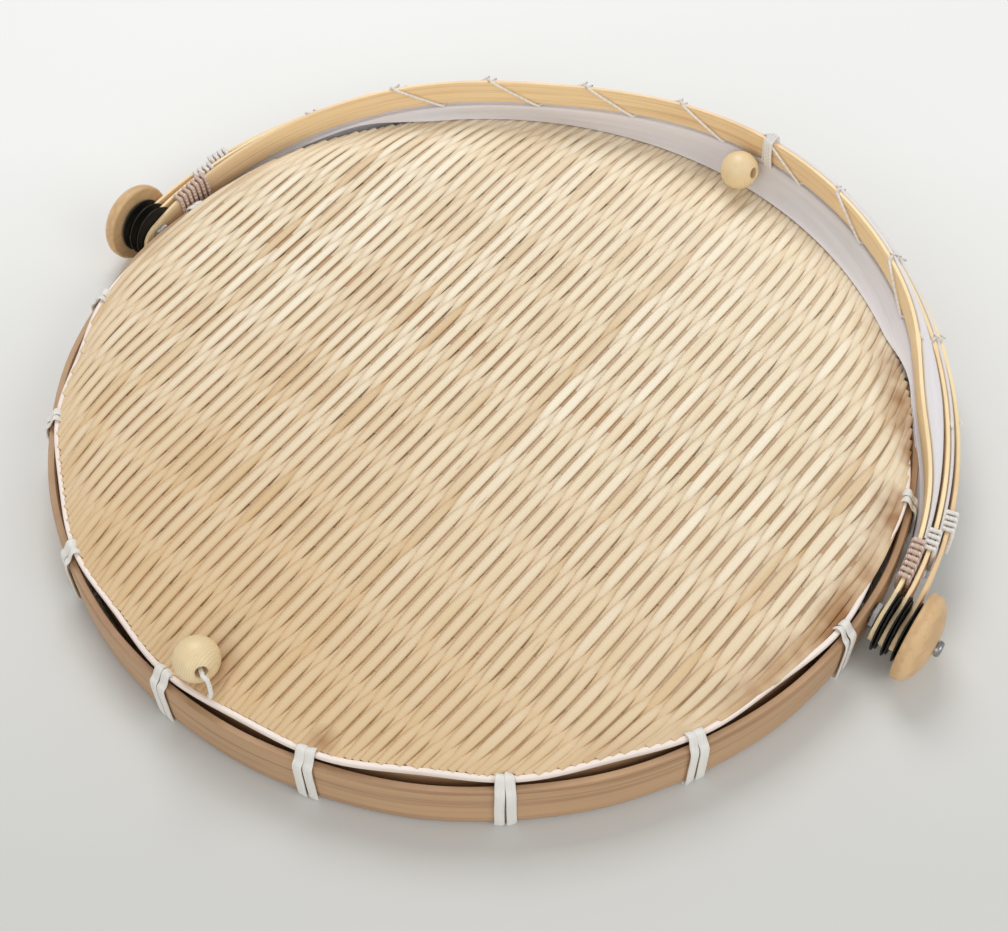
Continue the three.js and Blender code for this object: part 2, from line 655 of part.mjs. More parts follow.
// Runs from the middle rib down and out to the back rib
function rear_panel_lines(angle) {
  const near = rib_point(middle, angle);
  const far = rib_point(back, angle);
  const between = (share, fall) => [near.clone().lerp(far, share), -hem_drop - fall * rear_fold];
  return [between(0.25, 0), between(0.3, 0.45), between(0.4, 0.9), between(1, 1)];
}

function leading_rib() {
  const frame = rib_frame(LEADING_REST);
  frame.add(rib('leading_rib', leading));
  frame.add(lacing('leading_rib_lacing', leading, LEADING_LACING_START));
  frame.add(...whippings(
    'leading_rib', leading, LEADING_WHIPPING, LEADING_WHIPPING_TURNS, finishes.twine,
  ));
  frame.add(lid_bead());
  frame.add(gauze_panel('front_gauze_panel', front_panel_lines));
  return frame;
}

function middle_rib() {
  const frame = rib_frame(MIDDLE_REST);
  frame.add(rib('middle_rib', middle));
  frame.add(lacing('middle_rib_lacing', middle, LACING_START));
  frame.add(...whippings('middle_rib', middle, MIDDLE_WHIPPING, WHIPPING_TURNS, finishes.thread));
  frame.add(gauze_panel('rear_gauze_panel', rear_panel_lines));
  return frame;
}

function back_rib() {
  const frame = rib_frame(BACK_REST);
  frame.add(rib('back_rib', back));
  frame.add(lacing('back_rib_lacing', back, LACING_START));
  frame.add(...whippings('back_rib', back, BACK_WHIPPING, WHIPPING_TURNS, finishes.thread));
  return frame;
}

const tray = new THREE.Group();
tray.add(woven_mat(), rim(), ties(), tray_bead());
tray.add(pivot('right', 1), pivot('left', -1));
tray.add(leading_rib(), middle_rib(), back_rib());

// The origin is under the middle of the whole object's outline
const centre = new THREE.Box3().setFromObject(tray, true).getCenter(new THREE.Vector3());
tray.position.set(-centre.x, -centre.y, 0);
console.log(`moved by ${(-centre.x).toFixed(3)}, ${(-centre.y).toFixed(3)} mm`);

export default tray;
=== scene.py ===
"""Round woven bamboo tray with a folding gauze hood: the finished surfaces of every piece."""

import json
import math
import random

import bmesh
import bpy
from bpy.props import FloatProperty, FloatVectorProperty, IntProperty, PointerProperty
from mathutils import Matrix, Vector, noise
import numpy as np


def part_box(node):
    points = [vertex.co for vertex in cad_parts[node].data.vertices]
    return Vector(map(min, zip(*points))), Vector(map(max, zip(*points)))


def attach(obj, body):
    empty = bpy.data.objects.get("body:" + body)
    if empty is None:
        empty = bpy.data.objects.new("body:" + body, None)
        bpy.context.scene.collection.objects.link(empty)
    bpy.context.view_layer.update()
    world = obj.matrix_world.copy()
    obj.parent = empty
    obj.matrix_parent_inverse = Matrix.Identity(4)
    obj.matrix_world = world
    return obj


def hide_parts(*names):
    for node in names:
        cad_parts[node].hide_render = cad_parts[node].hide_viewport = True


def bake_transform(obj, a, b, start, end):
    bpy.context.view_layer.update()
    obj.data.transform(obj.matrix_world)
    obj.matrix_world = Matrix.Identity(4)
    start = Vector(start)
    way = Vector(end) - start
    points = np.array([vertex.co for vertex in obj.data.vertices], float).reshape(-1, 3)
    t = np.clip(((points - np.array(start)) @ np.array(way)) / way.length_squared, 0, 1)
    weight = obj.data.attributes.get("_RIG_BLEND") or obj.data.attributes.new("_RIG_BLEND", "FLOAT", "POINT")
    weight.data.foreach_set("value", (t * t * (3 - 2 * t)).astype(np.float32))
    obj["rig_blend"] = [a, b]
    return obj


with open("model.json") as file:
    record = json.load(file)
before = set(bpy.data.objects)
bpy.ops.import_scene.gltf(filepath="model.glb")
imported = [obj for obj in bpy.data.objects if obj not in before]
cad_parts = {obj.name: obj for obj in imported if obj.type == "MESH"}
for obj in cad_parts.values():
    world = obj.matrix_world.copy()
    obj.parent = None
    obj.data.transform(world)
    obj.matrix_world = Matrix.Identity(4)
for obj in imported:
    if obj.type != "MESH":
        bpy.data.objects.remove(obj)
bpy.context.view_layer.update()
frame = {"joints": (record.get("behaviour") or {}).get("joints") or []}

bl_info = {
    "name": "Covered Bamboo Serving Tray",
    "version": (1, 0, 0),
    "blender": (4, 5, 0),
    "location": "3D View > Sidebar > Bamboo Tray",
    "description": "Finishes a woven serving tray with a folding gauze hood",
    "category": "Object",
}

MM = 0.001
SIDES = {"right": 1, "left": -1}

# Places of the packed pieces
hoop_low, hoop_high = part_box("outer_hoop")
inner_low, inner_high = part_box("inner_hoop")
strip_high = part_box("edge_strip")[1]
mat_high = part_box("woven_mat")[1]
tray_middle = Vector((0.0, (hoop_low.y + hoop_high.y) / 2, 0.0))
hoop_radius = hoop_high.x
inner_radius = inner_high.x
strip_radius = strip_high.x
mat_radius = mat_high.x
pivot_place = Vector(frame["joints"][0]["pos_m"])


# Sizes and colours


def linear(value):
    """Scene brightness of a screen brightness given from 0 to 255"""
    level = value / 255
    return level / 12.92 if level <= 0.04045 else ((level + 0.055) / 1.055) ** 2.4


def size(name, description, millimetres):
    default = millimetres * MM
    return FloatProperty(name=name, description=description, default=default, unit="LENGTH", precision=5)


def turn(name, description, degrees):
    default = math.radians(degrees)
    return FloatProperty(name=name, description=description, default=default, subtype="ANGLE")


def share(name, description, value):
    return FloatProperty(name=name, description=description, default=value, subtype="FACTOR")


def count(name, description, value):
    return IntProperty(name=name, description=description, default=value, min=1)


def colour(name, description, *screen):
    default = [linear(value) for value in screen]
    return FloatVectorProperty(
        name=name, description=description, default=default, subtype="COLOR", size=3, min=0, max=1
    )


class TrayWeave(bpy.types.PropertyGroup):
    """Sizes of the woven mat"""

    weft_pitch: size("Weft pitch", "Middle to middle of two wefts", 2.4)
    weft_crossing: size("Weft at crossing", "Width of a weft where it passes its neighbours", 2.38)
    weft_crest: size("Weft at crest", "Width of a weft where it rides over a warp", 3.35)
    weft_thickness: size("Weft thickness", "Thickness of a weft splint", 1.3)
    weft_swing: size("Weft swing", "Rise and fall of a weft round the warps", 0.68)
    warp_pitch: size("Warp pitch", "Middle to middle of two warps", 23.5)
    warp_width: size("Warp width", "Width of a warp splint", 9.0)
    warp_first: size("First warp", "Front edge of the mat to its first warp", 17.0)
    weave_turn: turn("Weave turn", "Turn of the weave against the pivot axis", -2.0)
    fan: share("Fan", "How far the wefts spread from the front to the back", 0.045)
    rise: size("Rise", "Middle of the mat above its edge", 2.2)
    droop: size("Droop", "Width of the edge that bends down", 26.0)
    droop_share: share("Droop share", "Share of the rise that lies in the edge", 0.78)
    gather: share("Gather", "How far the weft ends close in along the rim", 0.05)
    gather_length: size("Gather length", "Length of a weft end that closes in", 45.0)
    weft_step: size("Weft step", "Length of weft between two cuts of its mesh", 2.1)


class TrayRim(bpy.types.PropertyGroup):
    """Sizes of the hoops and their lashings"""

    hoop_wall: size("Hoop wall", "Thickness of the outer hoop", 3.0)
    inner_wall: size("Inner wall", "Thickness of the inner hoop", 2.2)
    strip_wall: size("Strip wall", "Thickness of the pale edge strip", 1.5)
    strip_height: size("Strip height", "Height of the pale edge strip", 2.4)
    strip_pull: size("Strip pull", "How far a lashing pulls the edge strip out", 0.5)
    strip_bow: size("Strip bow", "How far the edge strip bows in between lashings", 2.2)
    strip_dip: size("Strip dip", "How far the edge strip lies lower behind the mat", 2.0)
    dip_start: turn("Dip start", "Angle round the rim where the mat starts to cover the strip", 26)
    dip_end: turn("Dip end", "Angle round the rim where the strip comes up again", 182)
    dip_fade: turn("Dip fade", "Angle over which the strip goes down", 14)
    tie_count: count("Lashings", "Number of lashings round the rim", 16)
    tie_first: turn("First lashing", "Angle of the first lashing from the right pivot", -96.0)
    tie_width: size("Lashing width", "Width of the lashing strip", 3.1)
    tie_thickness: size("Lashing thickness", "Thickness of the lashing strip", 0.8)
    tie_gap: size("Lashing gap", "Gap between the two turns of a lashing", 0.3)


class TrayHood(bpy.types.PropertyGroup):
    """Sizes of the folded hood"""

    rib_thickness: size("Rib thickness", "Thickness of a bent rib", 1.6)
    rib_width: size("Rib width", "Width of a bent rib", 11.0)
    rib_tail: size("Rib tail", "Length of a rib past its pivot", 8.0)
    rib_shoulder: size("Rib shoulder", "How far a rib bulges beside its pivots", 8.0)
    rib_dip: size("Rib dip", "How far the ribs are drawn in at the back", 4.0)
    dip_angle: turn("Dip angle", "Angle along the ribs where they are drawn in most", 115.0)
    dip_spread: turn("Dip spread", "Half the angle over which they are drawn in", 19.0)
    pinch_angle: turn("Pinch", "Angle along the leading rib where it bends in", 31.0)
    pinch_spread: turn("Pinch spread", "Half the angle that the bend takes", 11.0)
    lacing_thread: size("Lacing thread", "Thickness of the lacing", 1.0)
    lacing_pitch: size("Lacing pitch", "Length of rib that one turn of lacing takes", 38.0)
    bead_radius: size("Bead radius", "Radius of the wooden beads", 7.2)
    bead_bore: size("Bead bore", "Radius of the hole through a bead", 2.3)
    bead_cord: size("Bead cord", "Thickness of the cord through a bead", 1.4)
    lid_bead_angle: turn("Lid bead", "Angle of the lid's bead along the rib", 84.0)
    knot_angle: turn("Knot", "Angle along the rib of the knot beside the lid's bead", 80.6)
    gauze_start: turn("Gauze start", "Angle along the ribs where the gauze starts", 11.0)
    gauze_full: turn("Full gauze", "Angle along the ribs up to which the gauze puffs out", 95.0)
    gauze_folds: count("Gauze folds", "Folds of a gathered panel", 15)
    gauze_rest: size("Gauze rest", "Height at which the gauze lies on the rim", 24.6)
    gauze_lip: size("Gauze lip", "Distance from the tray's middle to the gauze's inner fold", 145.2)


class TrayColours(bpy.types.PropertyGroup):
    """Colours of the finishes"""

    # Pale straw also paints light at the back of the mat, and warm straw paints shade at its front
    straw: colour("Straw", "Commonest colour of the mat's splints", 239, 221, 188)
    straw_pale: colour("Pale straw", "Palest splints", 250, 240, 217)
    straw_warm: colour("Warm straw", "Warmest splints", 215, 182, 134)
    # Brown straw is the splints' own stains and weft ends, and also painted shade in the grooves and on the warps
    straw_brown: colour("Brown straw", "Grooves, stains and weft ends", 156, 108, 62)
    hoop: colour("Hoop", "Smooth bamboo of the outer hoop", 188, 152, 114)
    hoop_dark: colour("Dark hoop", "Grain and marks of the hoop", 138, 96, 64)
    strip: colour("Edge strip", "Pale strip round the mat", 240, 224, 214)
    lashing: colour("Lashing", "White strip of the lashings", 236, 233, 226)
    rib: colour("Rib", "Bent bamboo of the ribs", 248, 218, 172)
    rib_dark: colour("Dark rib", "Grain of the ribs", 196, 150, 100)
    thread: colour("Thread", "White cotton thread", 240, 236, 232)
    twine: colour("Twine", "Twisted twine on the leading rib", 232, 208, 194)
    # Dark twine: partly the twine's brown second ply, partly painted shade between its plies
    twine_dark: colour("Dark twine", "Second ply of the twine", 132, 92, 72)
    bead: colour("Bead", "Pale turned wood", 236, 214, 170)
    bead_dark: colour("Bead grain", "Grain of the beads", 214, 178, 124)
    button: colour("Button", "Turned wood of the pivot buttons", 218, 182, 134)
    button_dark: colour("Button grain", "Grain of the buttons", 182, 134, 86)
    steel: colour("Steel", "Screws and nuts", 150, 150, 150)
    washer: colour("Washer", "Blackened washers", 42, 40, 38)
    gauze: colour("Gauze", "Sheer cloth of the hood", 253, 251, 253)
    gauze_shade: colour("Gauze shade", "Cloth of the hood in its folds", 246, 241, 246)
    # The floor's own pale colour, painted darker toward the front as painted shade
    floor: colour("Floor", "Pale floor behind the tray", 241, 241, 238)
    floor_front_shade: colour("Front floor", "Pale floor before the tray", 209, 209, 205)


# Finishes


class Finish:
    """Node tree of one finish"""

    def __init__(self, name, roughness, **constants):
        self.material = bpy.data.materials.new(name)
        self.material.use_nodes = True
        self.tree = self.material.node_tree
        self.shader = self.tree.nodes["Principled BSDF"]
        self.shader.inputs["Roughness"].default_value = roughness
        for socket, value in constants.items():
            self.shader.inputs[socket.replace("_", " ").title()].default_value = value

    def node(self, kind, output, inputs, **settings):
        """Output of a new shader node"""
        node = self.tree.nodes.new("ShaderNode" + kind)
        for name, value in settings.items():
            setattr(node, name, value)
        for key, value in inputs.items():
            self.feed(value, node.inputs[key])
        return node.outputs[output]

    def feed(self, value, socket):
        if isinstance(value, bpy.types.NodeSocket):
            self.tree.links.new(value, socket)
        else:
            socket.default_value = value

    def attribute(self, name, output):
        return self.node("Attribute", output, {}, attribute_name=name)

    def stretched(self, source, scale, location=(0, 0, 0)):
        return self.node("Mapping", "Vector", {"Vector": source, "Scale": scale, "Location": location})

    def places(self, scale=(1, 1, 1), location=(0, 0, 0)):
        """Object coordinates, moved and stretched"""
        return self.stretched(self.node("TexCoord", "Object", {}), scale, location)

    def grain(self, scale):
        """The piece's own run of the grain: length along, across, and a number for each splint"""
        return self.stretched(self.attribute("grain", "Vector"), scale)

    def splint_number(self):
        """One random number for each splint"""
        number = self.node("SeparateXYZ", "Z", {"Vector": self.attribute("grain", "Vector")})
        return self.node("TexWhiteNoise", "Value", {"W": number}, noise_dimensions="1D")

    def coordinate(self, axis):
        return self.node("SeparateXYZ", axis, {"Vector": self.places()})

    def distance(self, x, y):
        """Distance of a point from a place, seen from above"""
        place = self.places((1, 1, 0), (-x, -y, 0))
        return self.node("VectorMath", "Value", {0: place}, operation="LENGTH")

    def noise(self, vector, scale=1.0, detail=4.0, roughness=0.6):
        inputs = {"Vector": vector, "Scale": scale, "Detail": detail, "Roughness": roughness}
        return self.node("TexNoise", "Fac", inputs)

    def bands(self, vector, direction, distortion, detail, detail_scale=1.0):
        inputs = {
            "Vector": vector, "Scale": 1.0, "Distortion": distortion,
            "Detail": detail, "Detail Scale": detail_scale,
        }
        return self.node("TexWave", "Fac", inputs, wave_type="BANDS", bands_direction=direction)

    def ramp(self, factor, *stops):
        """Colour from stops of (place, colour)"""
        output = self.node("ValToRGB", "Color", {"Fac": factor})
        elements = output.node.color_ramp.elements
        while len(elements) < len(stops):
            elements.new(1.0)
        for element, (place, stop) in zip(elements, stops):
            element.position = place
            element.color = (*stop, 1)
        return output

    def steps(self, factor, low, high, start=0.0, end=1.0):
        """Goes from start to end as factor goes from low to high"""
        inputs = {"Value": factor, "From Min": low, "From Max": high, "To Min": start, "To Max": end}
        return self.node("MapRange", "Result", inputs)

    def maths(self, operation, first, second):
        return self.node("Math", 0, {0: first, 1: second}, operation=operation)

    def mix(self, factor, first, second):
        """Colour between two, each a colour or the output of a node"""
        inputs = {0: factor}
        for socket, value in ((6, first), (7, second)):
            inputs[socket] = value if isinstance(value, bpy.types.NodeSocket) else (*value, 1)
        return self.node("Mix", 2, inputs, data_type="RGBA")

    def over(self, base, top, factor, low, high, most):
        """Colour top over base, up to a share of most as factor goes from low to high"""
        return self.mix(self.steps(factor, low, high, 0.0, most), base, top)

    def paint(self, value):
        self.feed(value, self.shader.inputs["Base Color"])

    def bump(self, height, distance, strength):
        inputs = {"Height": height, "Distance": distance, "Strength": strength}
        self.feed(self.node("Bump", "Normal", inputs), self.shader.inputs["Normal"])


def toned(base, factor):
    """A colour made darker or paler"""
    return tuple(min(1.0, factor * value) for value in base)


# Brown marks on the mat: place and reach in millimetres
MARKS = ((-3.8, -140.9, 10), (38.9, -142.5, 6))


def mat_finish(colours):
    """Bamboo splints: painted shade in the grooves, painted light paler at the back, painted shade darker in
    front, burnt at the right edge
    """
    finish = Finish("mat_bamboo", roughness=0.6)
    straw = colours.straw
    pale = colours.straw_pale
    warm = colours.straw_warm
    brown = colours.straw_brown
    fibre = finish.noise(finish.grain((45, 2600, 37)), detail=5)
    drift = finish.noise(finish.grain((14, 200, 53)), detail=3)
    blotch = finish.noise(finish.grain((70, 500, 71)), detail=2)
    splint = finish.ramp(finish.splint_number(), (0.0, warm), (0.25, straw), (0.7, straw), (1.0, pale))
    tinted = finish.over(splint, pale, drift, 0.35, 0.75, 0.55)
    streaked = finish.over(tinted, warm, fibre, 0.52, 0.8, 0.45)
    stained = finish.over(streaked, brown, blotch, 0.68, 0.8, 0.5)

    # Painted shade: brown deepens with how far a point lies below the crests, most on the warps
    low = finish.attribute("sunk_for_shade", "Fac")
    slope = finish.steps(low, 0.1, 0.7, 0.0, 0.45)
    bottom = finish.steps(low, 0.9, 1.0, 0.0, 0.1)
    groove_shaded = finish.mix(finish.maths("ADD", slope, bottom), stained, brown)

    x = finish.coordinate("X")
    y = finish.coordinate("Y")
    # Painted light: the splints get paler toward the back; painted shade makes them warmer and darker toward the
    # front
    painted_back_light = finish.over(groove_shaded, pale, y, 0.03, 0.13, 0.45)
    painted_front_shade = finish.over(painted_back_light, warm, y, 0.0, -0.13, 0.8)

    edge = finish.steps(finish.distance(0, tray_middle.y), mat_radius - 11 * MM, mat_radius - 1 * MM)
    patch = finish.noise(finish.places((30, 30, 1)), detail=3)
    burnt = finish.maths("MULTIPLY", edge, finish.steps(patch, 0.42, 0.6, 0.05, 1.0))
    right = finish.steps(x, 0.08, 0.13, 0.2, 1.0)
    rear = finish.steps(y, -0.085, -0.02, 0.3, 1.0)
    corner = finish.maths("MULTIPLY", right, rear)
    scorched = finish.mix(finish.maths("MULTIPLY", burnt, corner), painted_front_shade, brown)

    marks = []
    for mark_x, mark_y, reach in MARKS:
        away = finish.distance(mark_x * MM, mark_y * MM)
        marks.append(finish.steps(away, 0.0, reach * MM, 1.0, 0.0))
    marked = finish.maths("MULTIPLY", finish.maths("MAXIMUM", *marks), 0.8)
    finish.paint(finish.mix(marked, scorched, brown))
    finish.bump(fibre, 0.12 * MM, 0.6)
    return finish.material


def gauze_finish(colours):
    """Sheer cloth with streaks along its folds, lit through from behind"""
    finish = Finish("hood_gauze", roughness=0.85)
    streak = finish.noise(finish.grain((9, 300, 0)), roughness=0.55)
    tone = finish.over(colours.gauze, colours.gauze_shade, streak, 0.4, 0.7, 0.8)
    finish.paint(tone)
    front_lit = finish.shader.outputs["BSDF"]
    lit_through = finish.node("BsdfTranslucent", "BSDF", {"Color": tone})
    cloth = finish.node("MixShader", "Shader", {0: 0.15, 1: front_lit, 2: lit_through})
    clear = finish.node("BsdfTransparent", "BSDF", {})
    cover = finish.steps(streak, 0.3, 0.7, 0.72, 0.94)
    sheer = finish.node("MixShader", "Shader", {0: cover, 1: clear, 2: cloth})
    finish.feed(sheer, finish.tree.nodes["Material Output"].inputs["Surface"])
    return finish.material


def cane_finish(name, base, dark, roughness, along, across, strength):
    """Split cane with its fibres along the piece"""
    finish = Finish(name, roughness)
    fibre = finish.noise(finish.grain((along, across, 11)), detail=6, roughness=0.65)
    drift = finish.noise(finish.grain((along * 0.6, across * 0.06, 5)), detail=3)
    fleck = finish.noise(finish.grain((along * 6, across * 0.3, 3)), detail=1)
    streaked = finish.over(base, dark, fibre, 0.45, 0.68, strength)
    lightened = finish.over(streaked, toned(base, 1.22), drift, 0.45, 0.66, 0.6)
    finish.paint(finish.over(lightened, dark, fleck, 0.74, 0.8, 0.6))
    finish.bump(fibre, 0.15 * MM, 0.5)
    return finish.material


def thread_finish(name, base, dark, twist):
    """Twisted thread: plies wind round it, twist turns for each metre"""
    finish = Finish(name, roughness=0.9, sheen_weight=0.15)
    ply = finish.bands(finish.grain((twist, 1, 0)), "DIAGONAL", 0.6, 1.0)
    fuzz = finish.noise(finish.places(), scale=1800, detail=3)
    # Darker bands along the plies: painted shade between the plies, and on the twine partly its own brown second
    # ply
    finish.paint(finish.mix(finish.steps(ply, 0.1, 0.5, 0.55, 0.0), base, dark))
    finish.bump(finish.maths("ADD", ply, fuzz), 0.12 * MM, 0.7)
    return finish.material


def cotton_finish(name, colours, twist):
    return thread_finish(name, colours.thread, toned(colours.thread, 0.84), twist)


def lashing_finish(colours):
    finish = Finish("lashing_strip", roughness=0.8)
    fibre = finish.noise(finish.grain((120, 2200, 9)))
    finish.paint(finish.over(colours.lashing, toned(colours.lashing, 0.78), fibre, 0.4, 0.75, 0.5))
    finish.bump(fibre, 0.2 * MM, 0.8)
    return finish.material


def turned_wood_finish(name, base, dark, roughness, scale):
    """Turned wood with faint year rings"""
    finish = Finish(name, roughness, coat_weight=0.12, coat_roughness=0.35)
    rings = finish.bands(finish.places(scale), "X", 3.5, 3.0, 0.8)
    pores = finish.noise(finish.places((700, 700, 90)))
    ringed = finish.over(base, dark, rings, 0.3, 1.0, 0.35)
    finish.paint(finish.over(ringed, dark, pores, 0.55, 0.8, 0.35))
    finish.bump(pores, 0.05 * MM, 0.4)
    return finish.material


def metal_finish(name, base, roughness, metallic):
    """Metal, paler and smoother where it is worn"""
    finish = Finish(name, roughness, metallic=metallic)
    wear = finish.noise(finish.places(), scale=420, detail=5)
    finish.paint(finish.over(base, toned(base, 1.6), wear, 0.45, 0.75, 0.7))
    polish = finish.steps(wear, 0.3, 0.7, roughness + 0.15, roughness - 0.1)
    finish.feed(polish, finish.shader.inputs["Roughness"])
    finish.bump(wear, 0.04 * MM, 0.5)
    return finish.material


# Modelling helpers


def ease(value):
    value = min(max(value, 0.0), 1.0)
    return value * value * (3 - 2 * value)


def edges_along(bm, axis):
    """Straight edges of a unit bar that run along an axis"""

    def runs(edge):
        step = edge.verts[1].co - edge.verts[0].co
        return abs(step[axis]) > 0.9 * step.length

    return [edge for edge in bm.edges if runs(edge)]


def unit_mesh(bm, steps):
    """Cuts a unit bar into steps along Y and returns it as a mesh with a grain attribute"""
    bmesh.ops.subdivide_edges(bm, edges=edges_along(bm, 1), cuts=steps - 1, use_grid_fill=True)
    bm.verts.layers.float_vector.new("grain")
    bm.verts.layers.float.new("sunk_for_shade")
    mesh = bpy.data.meshes.new("unit")
    bm.to_mesh(mesh)
    bm.free()
    return mesh


def unit_bar(steps, rounding, cuts=1, segments=1):
    """Flat bar of unit size with rounded long edges"""
    bm = bmesh.new()
    bmesh.ops.create_cube(bm, size=1)
    bmesh.ops.bevel(
        bm, geom=edges_along(bm, 1), offset=rounding, affect="EDGES",
        segments=segments, profile=0.5, material=-1,
    )
    if cuts:
        bmesh.ops.subdivide_edges(bm, edges=edges_along(bm, 0), cuts=cuts)
    return unit_mesh(bm, steps)


def unit_rod(steps, sides):
    """Round rod of unit size"""
    bm = bmesh.new()
    bmesh.ops.create_cone(bm, cap_ends=True, segments=sides, radius1=0.5, radius2=0.5, depth=1)
    bmesh.ops.rotate(bm, verts=bm.verts, matrix=Matrix.Rotation(-math.pi / 2, 3, "X"))
    return unit_mesh(bm, steps)


def bend(bm, unit, place, length, width, number=0.0):
    """Adds a unit bar to bm, each point moved to place(along, across, through)"""
    start = len(bm.verts)
    bm.from_mesh(unit)
    bm.verts.ensure_lookup_table()
    grain = bm.verts.layers.float_vector["grain"]
    for vert in bm.verts[start:]:
        across, along, through = vert.co
        along += 0.5
        vert[grain] = (along * length, across * width, number)
        vert.co = place(along, across, through)


def path_length(points):
    return sum((after - before).length for before, after in zip(points, points[1:]))


def path_frames(points, up):
    """Point, side and up at each point of a path, carried along without twist"""
    frames = []
    for i, point in enumerate(points):
        before = points[max(i - 1, 0)]
        after = points[min(i + 1, len(points) - 1)]
        ahead = (after - before).normalized()
        up = (up - ahead * up.dot(ahead)).normalized()
        frames.append((point, ahead.cross(up), up))
    return frames


def smooth_path(points, per_span):
    """More points on a smooth curve through the given ones"""
    last = len(points) - 1
    path = []
    for i in range(last):
        before, start, end, after = (points[min(max(i + k, 0), last)] for k in (-1, 0, 1, 2))
        slope = end - before
        curve = 2 * before - 5 * start + 4 * end - after
        change = 3 * start - before - 3 * end + after
        for k in range(per_span):
            t = k / per_span
            path.append(0.5 * (2 * start + slope * t + curve * t * t + change * t ** 3))
    path.append(points[-1].copy())
    return path


def strip_along(bm, points, up, width, thickness, unit, number=0.0):
    """Sweeps a unit bar or rod with as many steps as the path has"""
    frames = path_frames(points, up)
    last = len(frames) - 1

    def place(along, across, through):
        point, side, above = frames[round(along * last)]
        return point + side * (across * width) + above * (through * thickness)

    bend(bm, unit, place, path_length(points), width, number)


def cord_along(bm, stations, per_span, diameter, sides):
    """Sweeps a round cord along a smooth path through stations"""
    points = smooth_path(stations, per_span)
    up = Vector((0.13, 0.21, 0.97))
    strip_along(bm, points, up, diameter, diameter, unit_rod(len(points) - 1, sides))


def turned(bm, profile, place, steps):
    """Spins a profile of (radius, distance) round +X and moves it by the matrix place"""
    loop = [bm.verts.new((x, radius, 0.0)) for radius, x in profile]
    edges = [bm.edges.new(pair) for pair in zip(loop, loop[1:])]
    if profile[0][0] > 0 and profile[-1][0] > 0:
        edges.append(bm.edges.new((loop[-1], loop[0])))
    before = set(bm.verts) - set(loop)
    bmesh.ops.spin(
        bm, geom=loop + edges, cent=(0, 0, 0), axis=(1, 0, 0),
        angle=2 * math.pi, steps=steps, use_merge=True,
    )
    made = [vert for vert in bm.verts if vert not in before]
    bmesh.ops.remove_doubles(bm, verts=made, dist=1e-6)
    made = [vert for vert in bm.verts if vert not in before]
    faces = {face for vert in made for face in vert.link_faces}
    bmesh.ops.recalc_face_normals(bm, faces=list(faces))
    bmesh.ops.transform(bm, matrix=place, verts=made)


def arc(middle, radius, start, end, steps):
    """Points (radius, distance) of an arc, angles in degrees from the outward radius"""
    angles = [math.radians(start + (end - start) * i / steps) for i in range(steps + 1)]
    return [(middle[0] + radius * math.cos(a), middle[1] + radius * math.sin(a)) for a in angles]


def add_object(name, bm, material):
    """Turns a bmesh into an object of the scene"""
    mesh = bpy.data.meshes.new(name)
    bm.to_mesh(mesh)
    bm.free()
    mesh.materials.append(material)
    obj = bpy.data.objects.new(name, mesh)
    bpy.context.scene.collection.objects.link(obj)
    return obj


def show(name, bm, material, body, slot, *nodes, sharp=40.0):
    """Adds a finished piece and says which body carries it"""
    piece = add_object(name, bm, material)
    piece.data.shade_smooth()
    piece.data.set_sharp_from_angle(angle=math.radians(sharp))
    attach(piece, body)
    if nodes:
        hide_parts(*nodes)


# Rim

# Degrees by which some lashings have slipped along the rim
SLIPPED = {1: -2.0, 2: -1.5, 3: -1.4}
# Lashing under which the ends of the hoops meet
SEAM_TIE = 9
# Bulge of a hoop as a share of its wall, the part of it on the inner face, and its uneven height
HOOP_BULGE = 0.10
INNER_BULGE = -0.3
HOOP_WAVE = 0.4 * MM
# How far a lashing draws the outer hoop in, and how far the edge strip stays under its packed top
HOOP_PULL = 0.4 * MM
STRIP_DROP = 0.8 * MM


def tie_angle(rim, k):
    slip = math.radians(SLIPPED.get(k % rim.tie_count, 0.0))
    return rim.tie_first + 2 * math.pi * k / rim.tie_count + slip


def between_ties(rim, angle):
    """0 at a lashing and 1 midway to the next, with uneven spans"""
    turns = (angle - rim.tie_first) * rim.tie_count / (2 * math.pi)
    span = math.floor(turns)
    lens = 0.5 - 0.5 * math.cos(2 * math.pi * (turns - span))
    uneven = 0.75 + 0.45 * noise.noise(Vector((span % rim.tie_count, 4.1, 0.3)))
    return lens * uneven


def behind(rim, angle):
    """1 where the mat lies over the edge strip, behind the tray, and 0 where the strip shows"""
    turned_to = angle % (2 * math.pi)
    near = ease((turned_to - rim.dip_start) / rim.dip_fade + 0.5)
    far = ease((rim.dip_end - turned_to) / rim.dip_fade + 0.5)
    return min(near, far)


def strip_top(rim, angle):
    return strip_high.z - STRIP_DROP - rim.strip_dip * behind(rim, angle)


def strip_inside(rim, angle):
    """Radius of the edge strip's inner face"""
    return strip_radius - rim.strip_wall + rim.strip_pull - rim.strip_bow * between_ties(rim, angle)


def ring_point(radius, angle, height):
    return tray_middle + Vector((radius * math.cos(angle), radius * math.sin(angle), height))


def bend_hoop(node, material, slot, rim, wall, height, top, outside, steps, rounding, number):
    """A bent strip round the tray; top and outside give its height and radius at an angle"""
    first = tie_angle(rim, SEAM_TIE)

    def place(along, across, through):
        angle = first + 2 * math.pi * along
        wave = noise.noise(Vector((4 * math.cos(angle), 4 * math.sin(angle), number)))
        crown = HOOP_BULGE * wall * (1 - (2 * across) ** 2) * (1 if through > 0 else INNER_BULGE)
        radius = outside(angle) - wall / 2 + wall * through + crown
        level = top(angle) - height / 2 + across * (height + HOOP_WAVE * wave)
        return ring_point(radius, angle, level)

    bm = bmesh.new()
    unit = unit_bar(steps, rounding, cuts=5, segments=3)
    bend(bm, unit, place, 2 * math.pi * hoop_radius, height, number)
    show("rim_" + node, bm, material, "tray", slot, node)


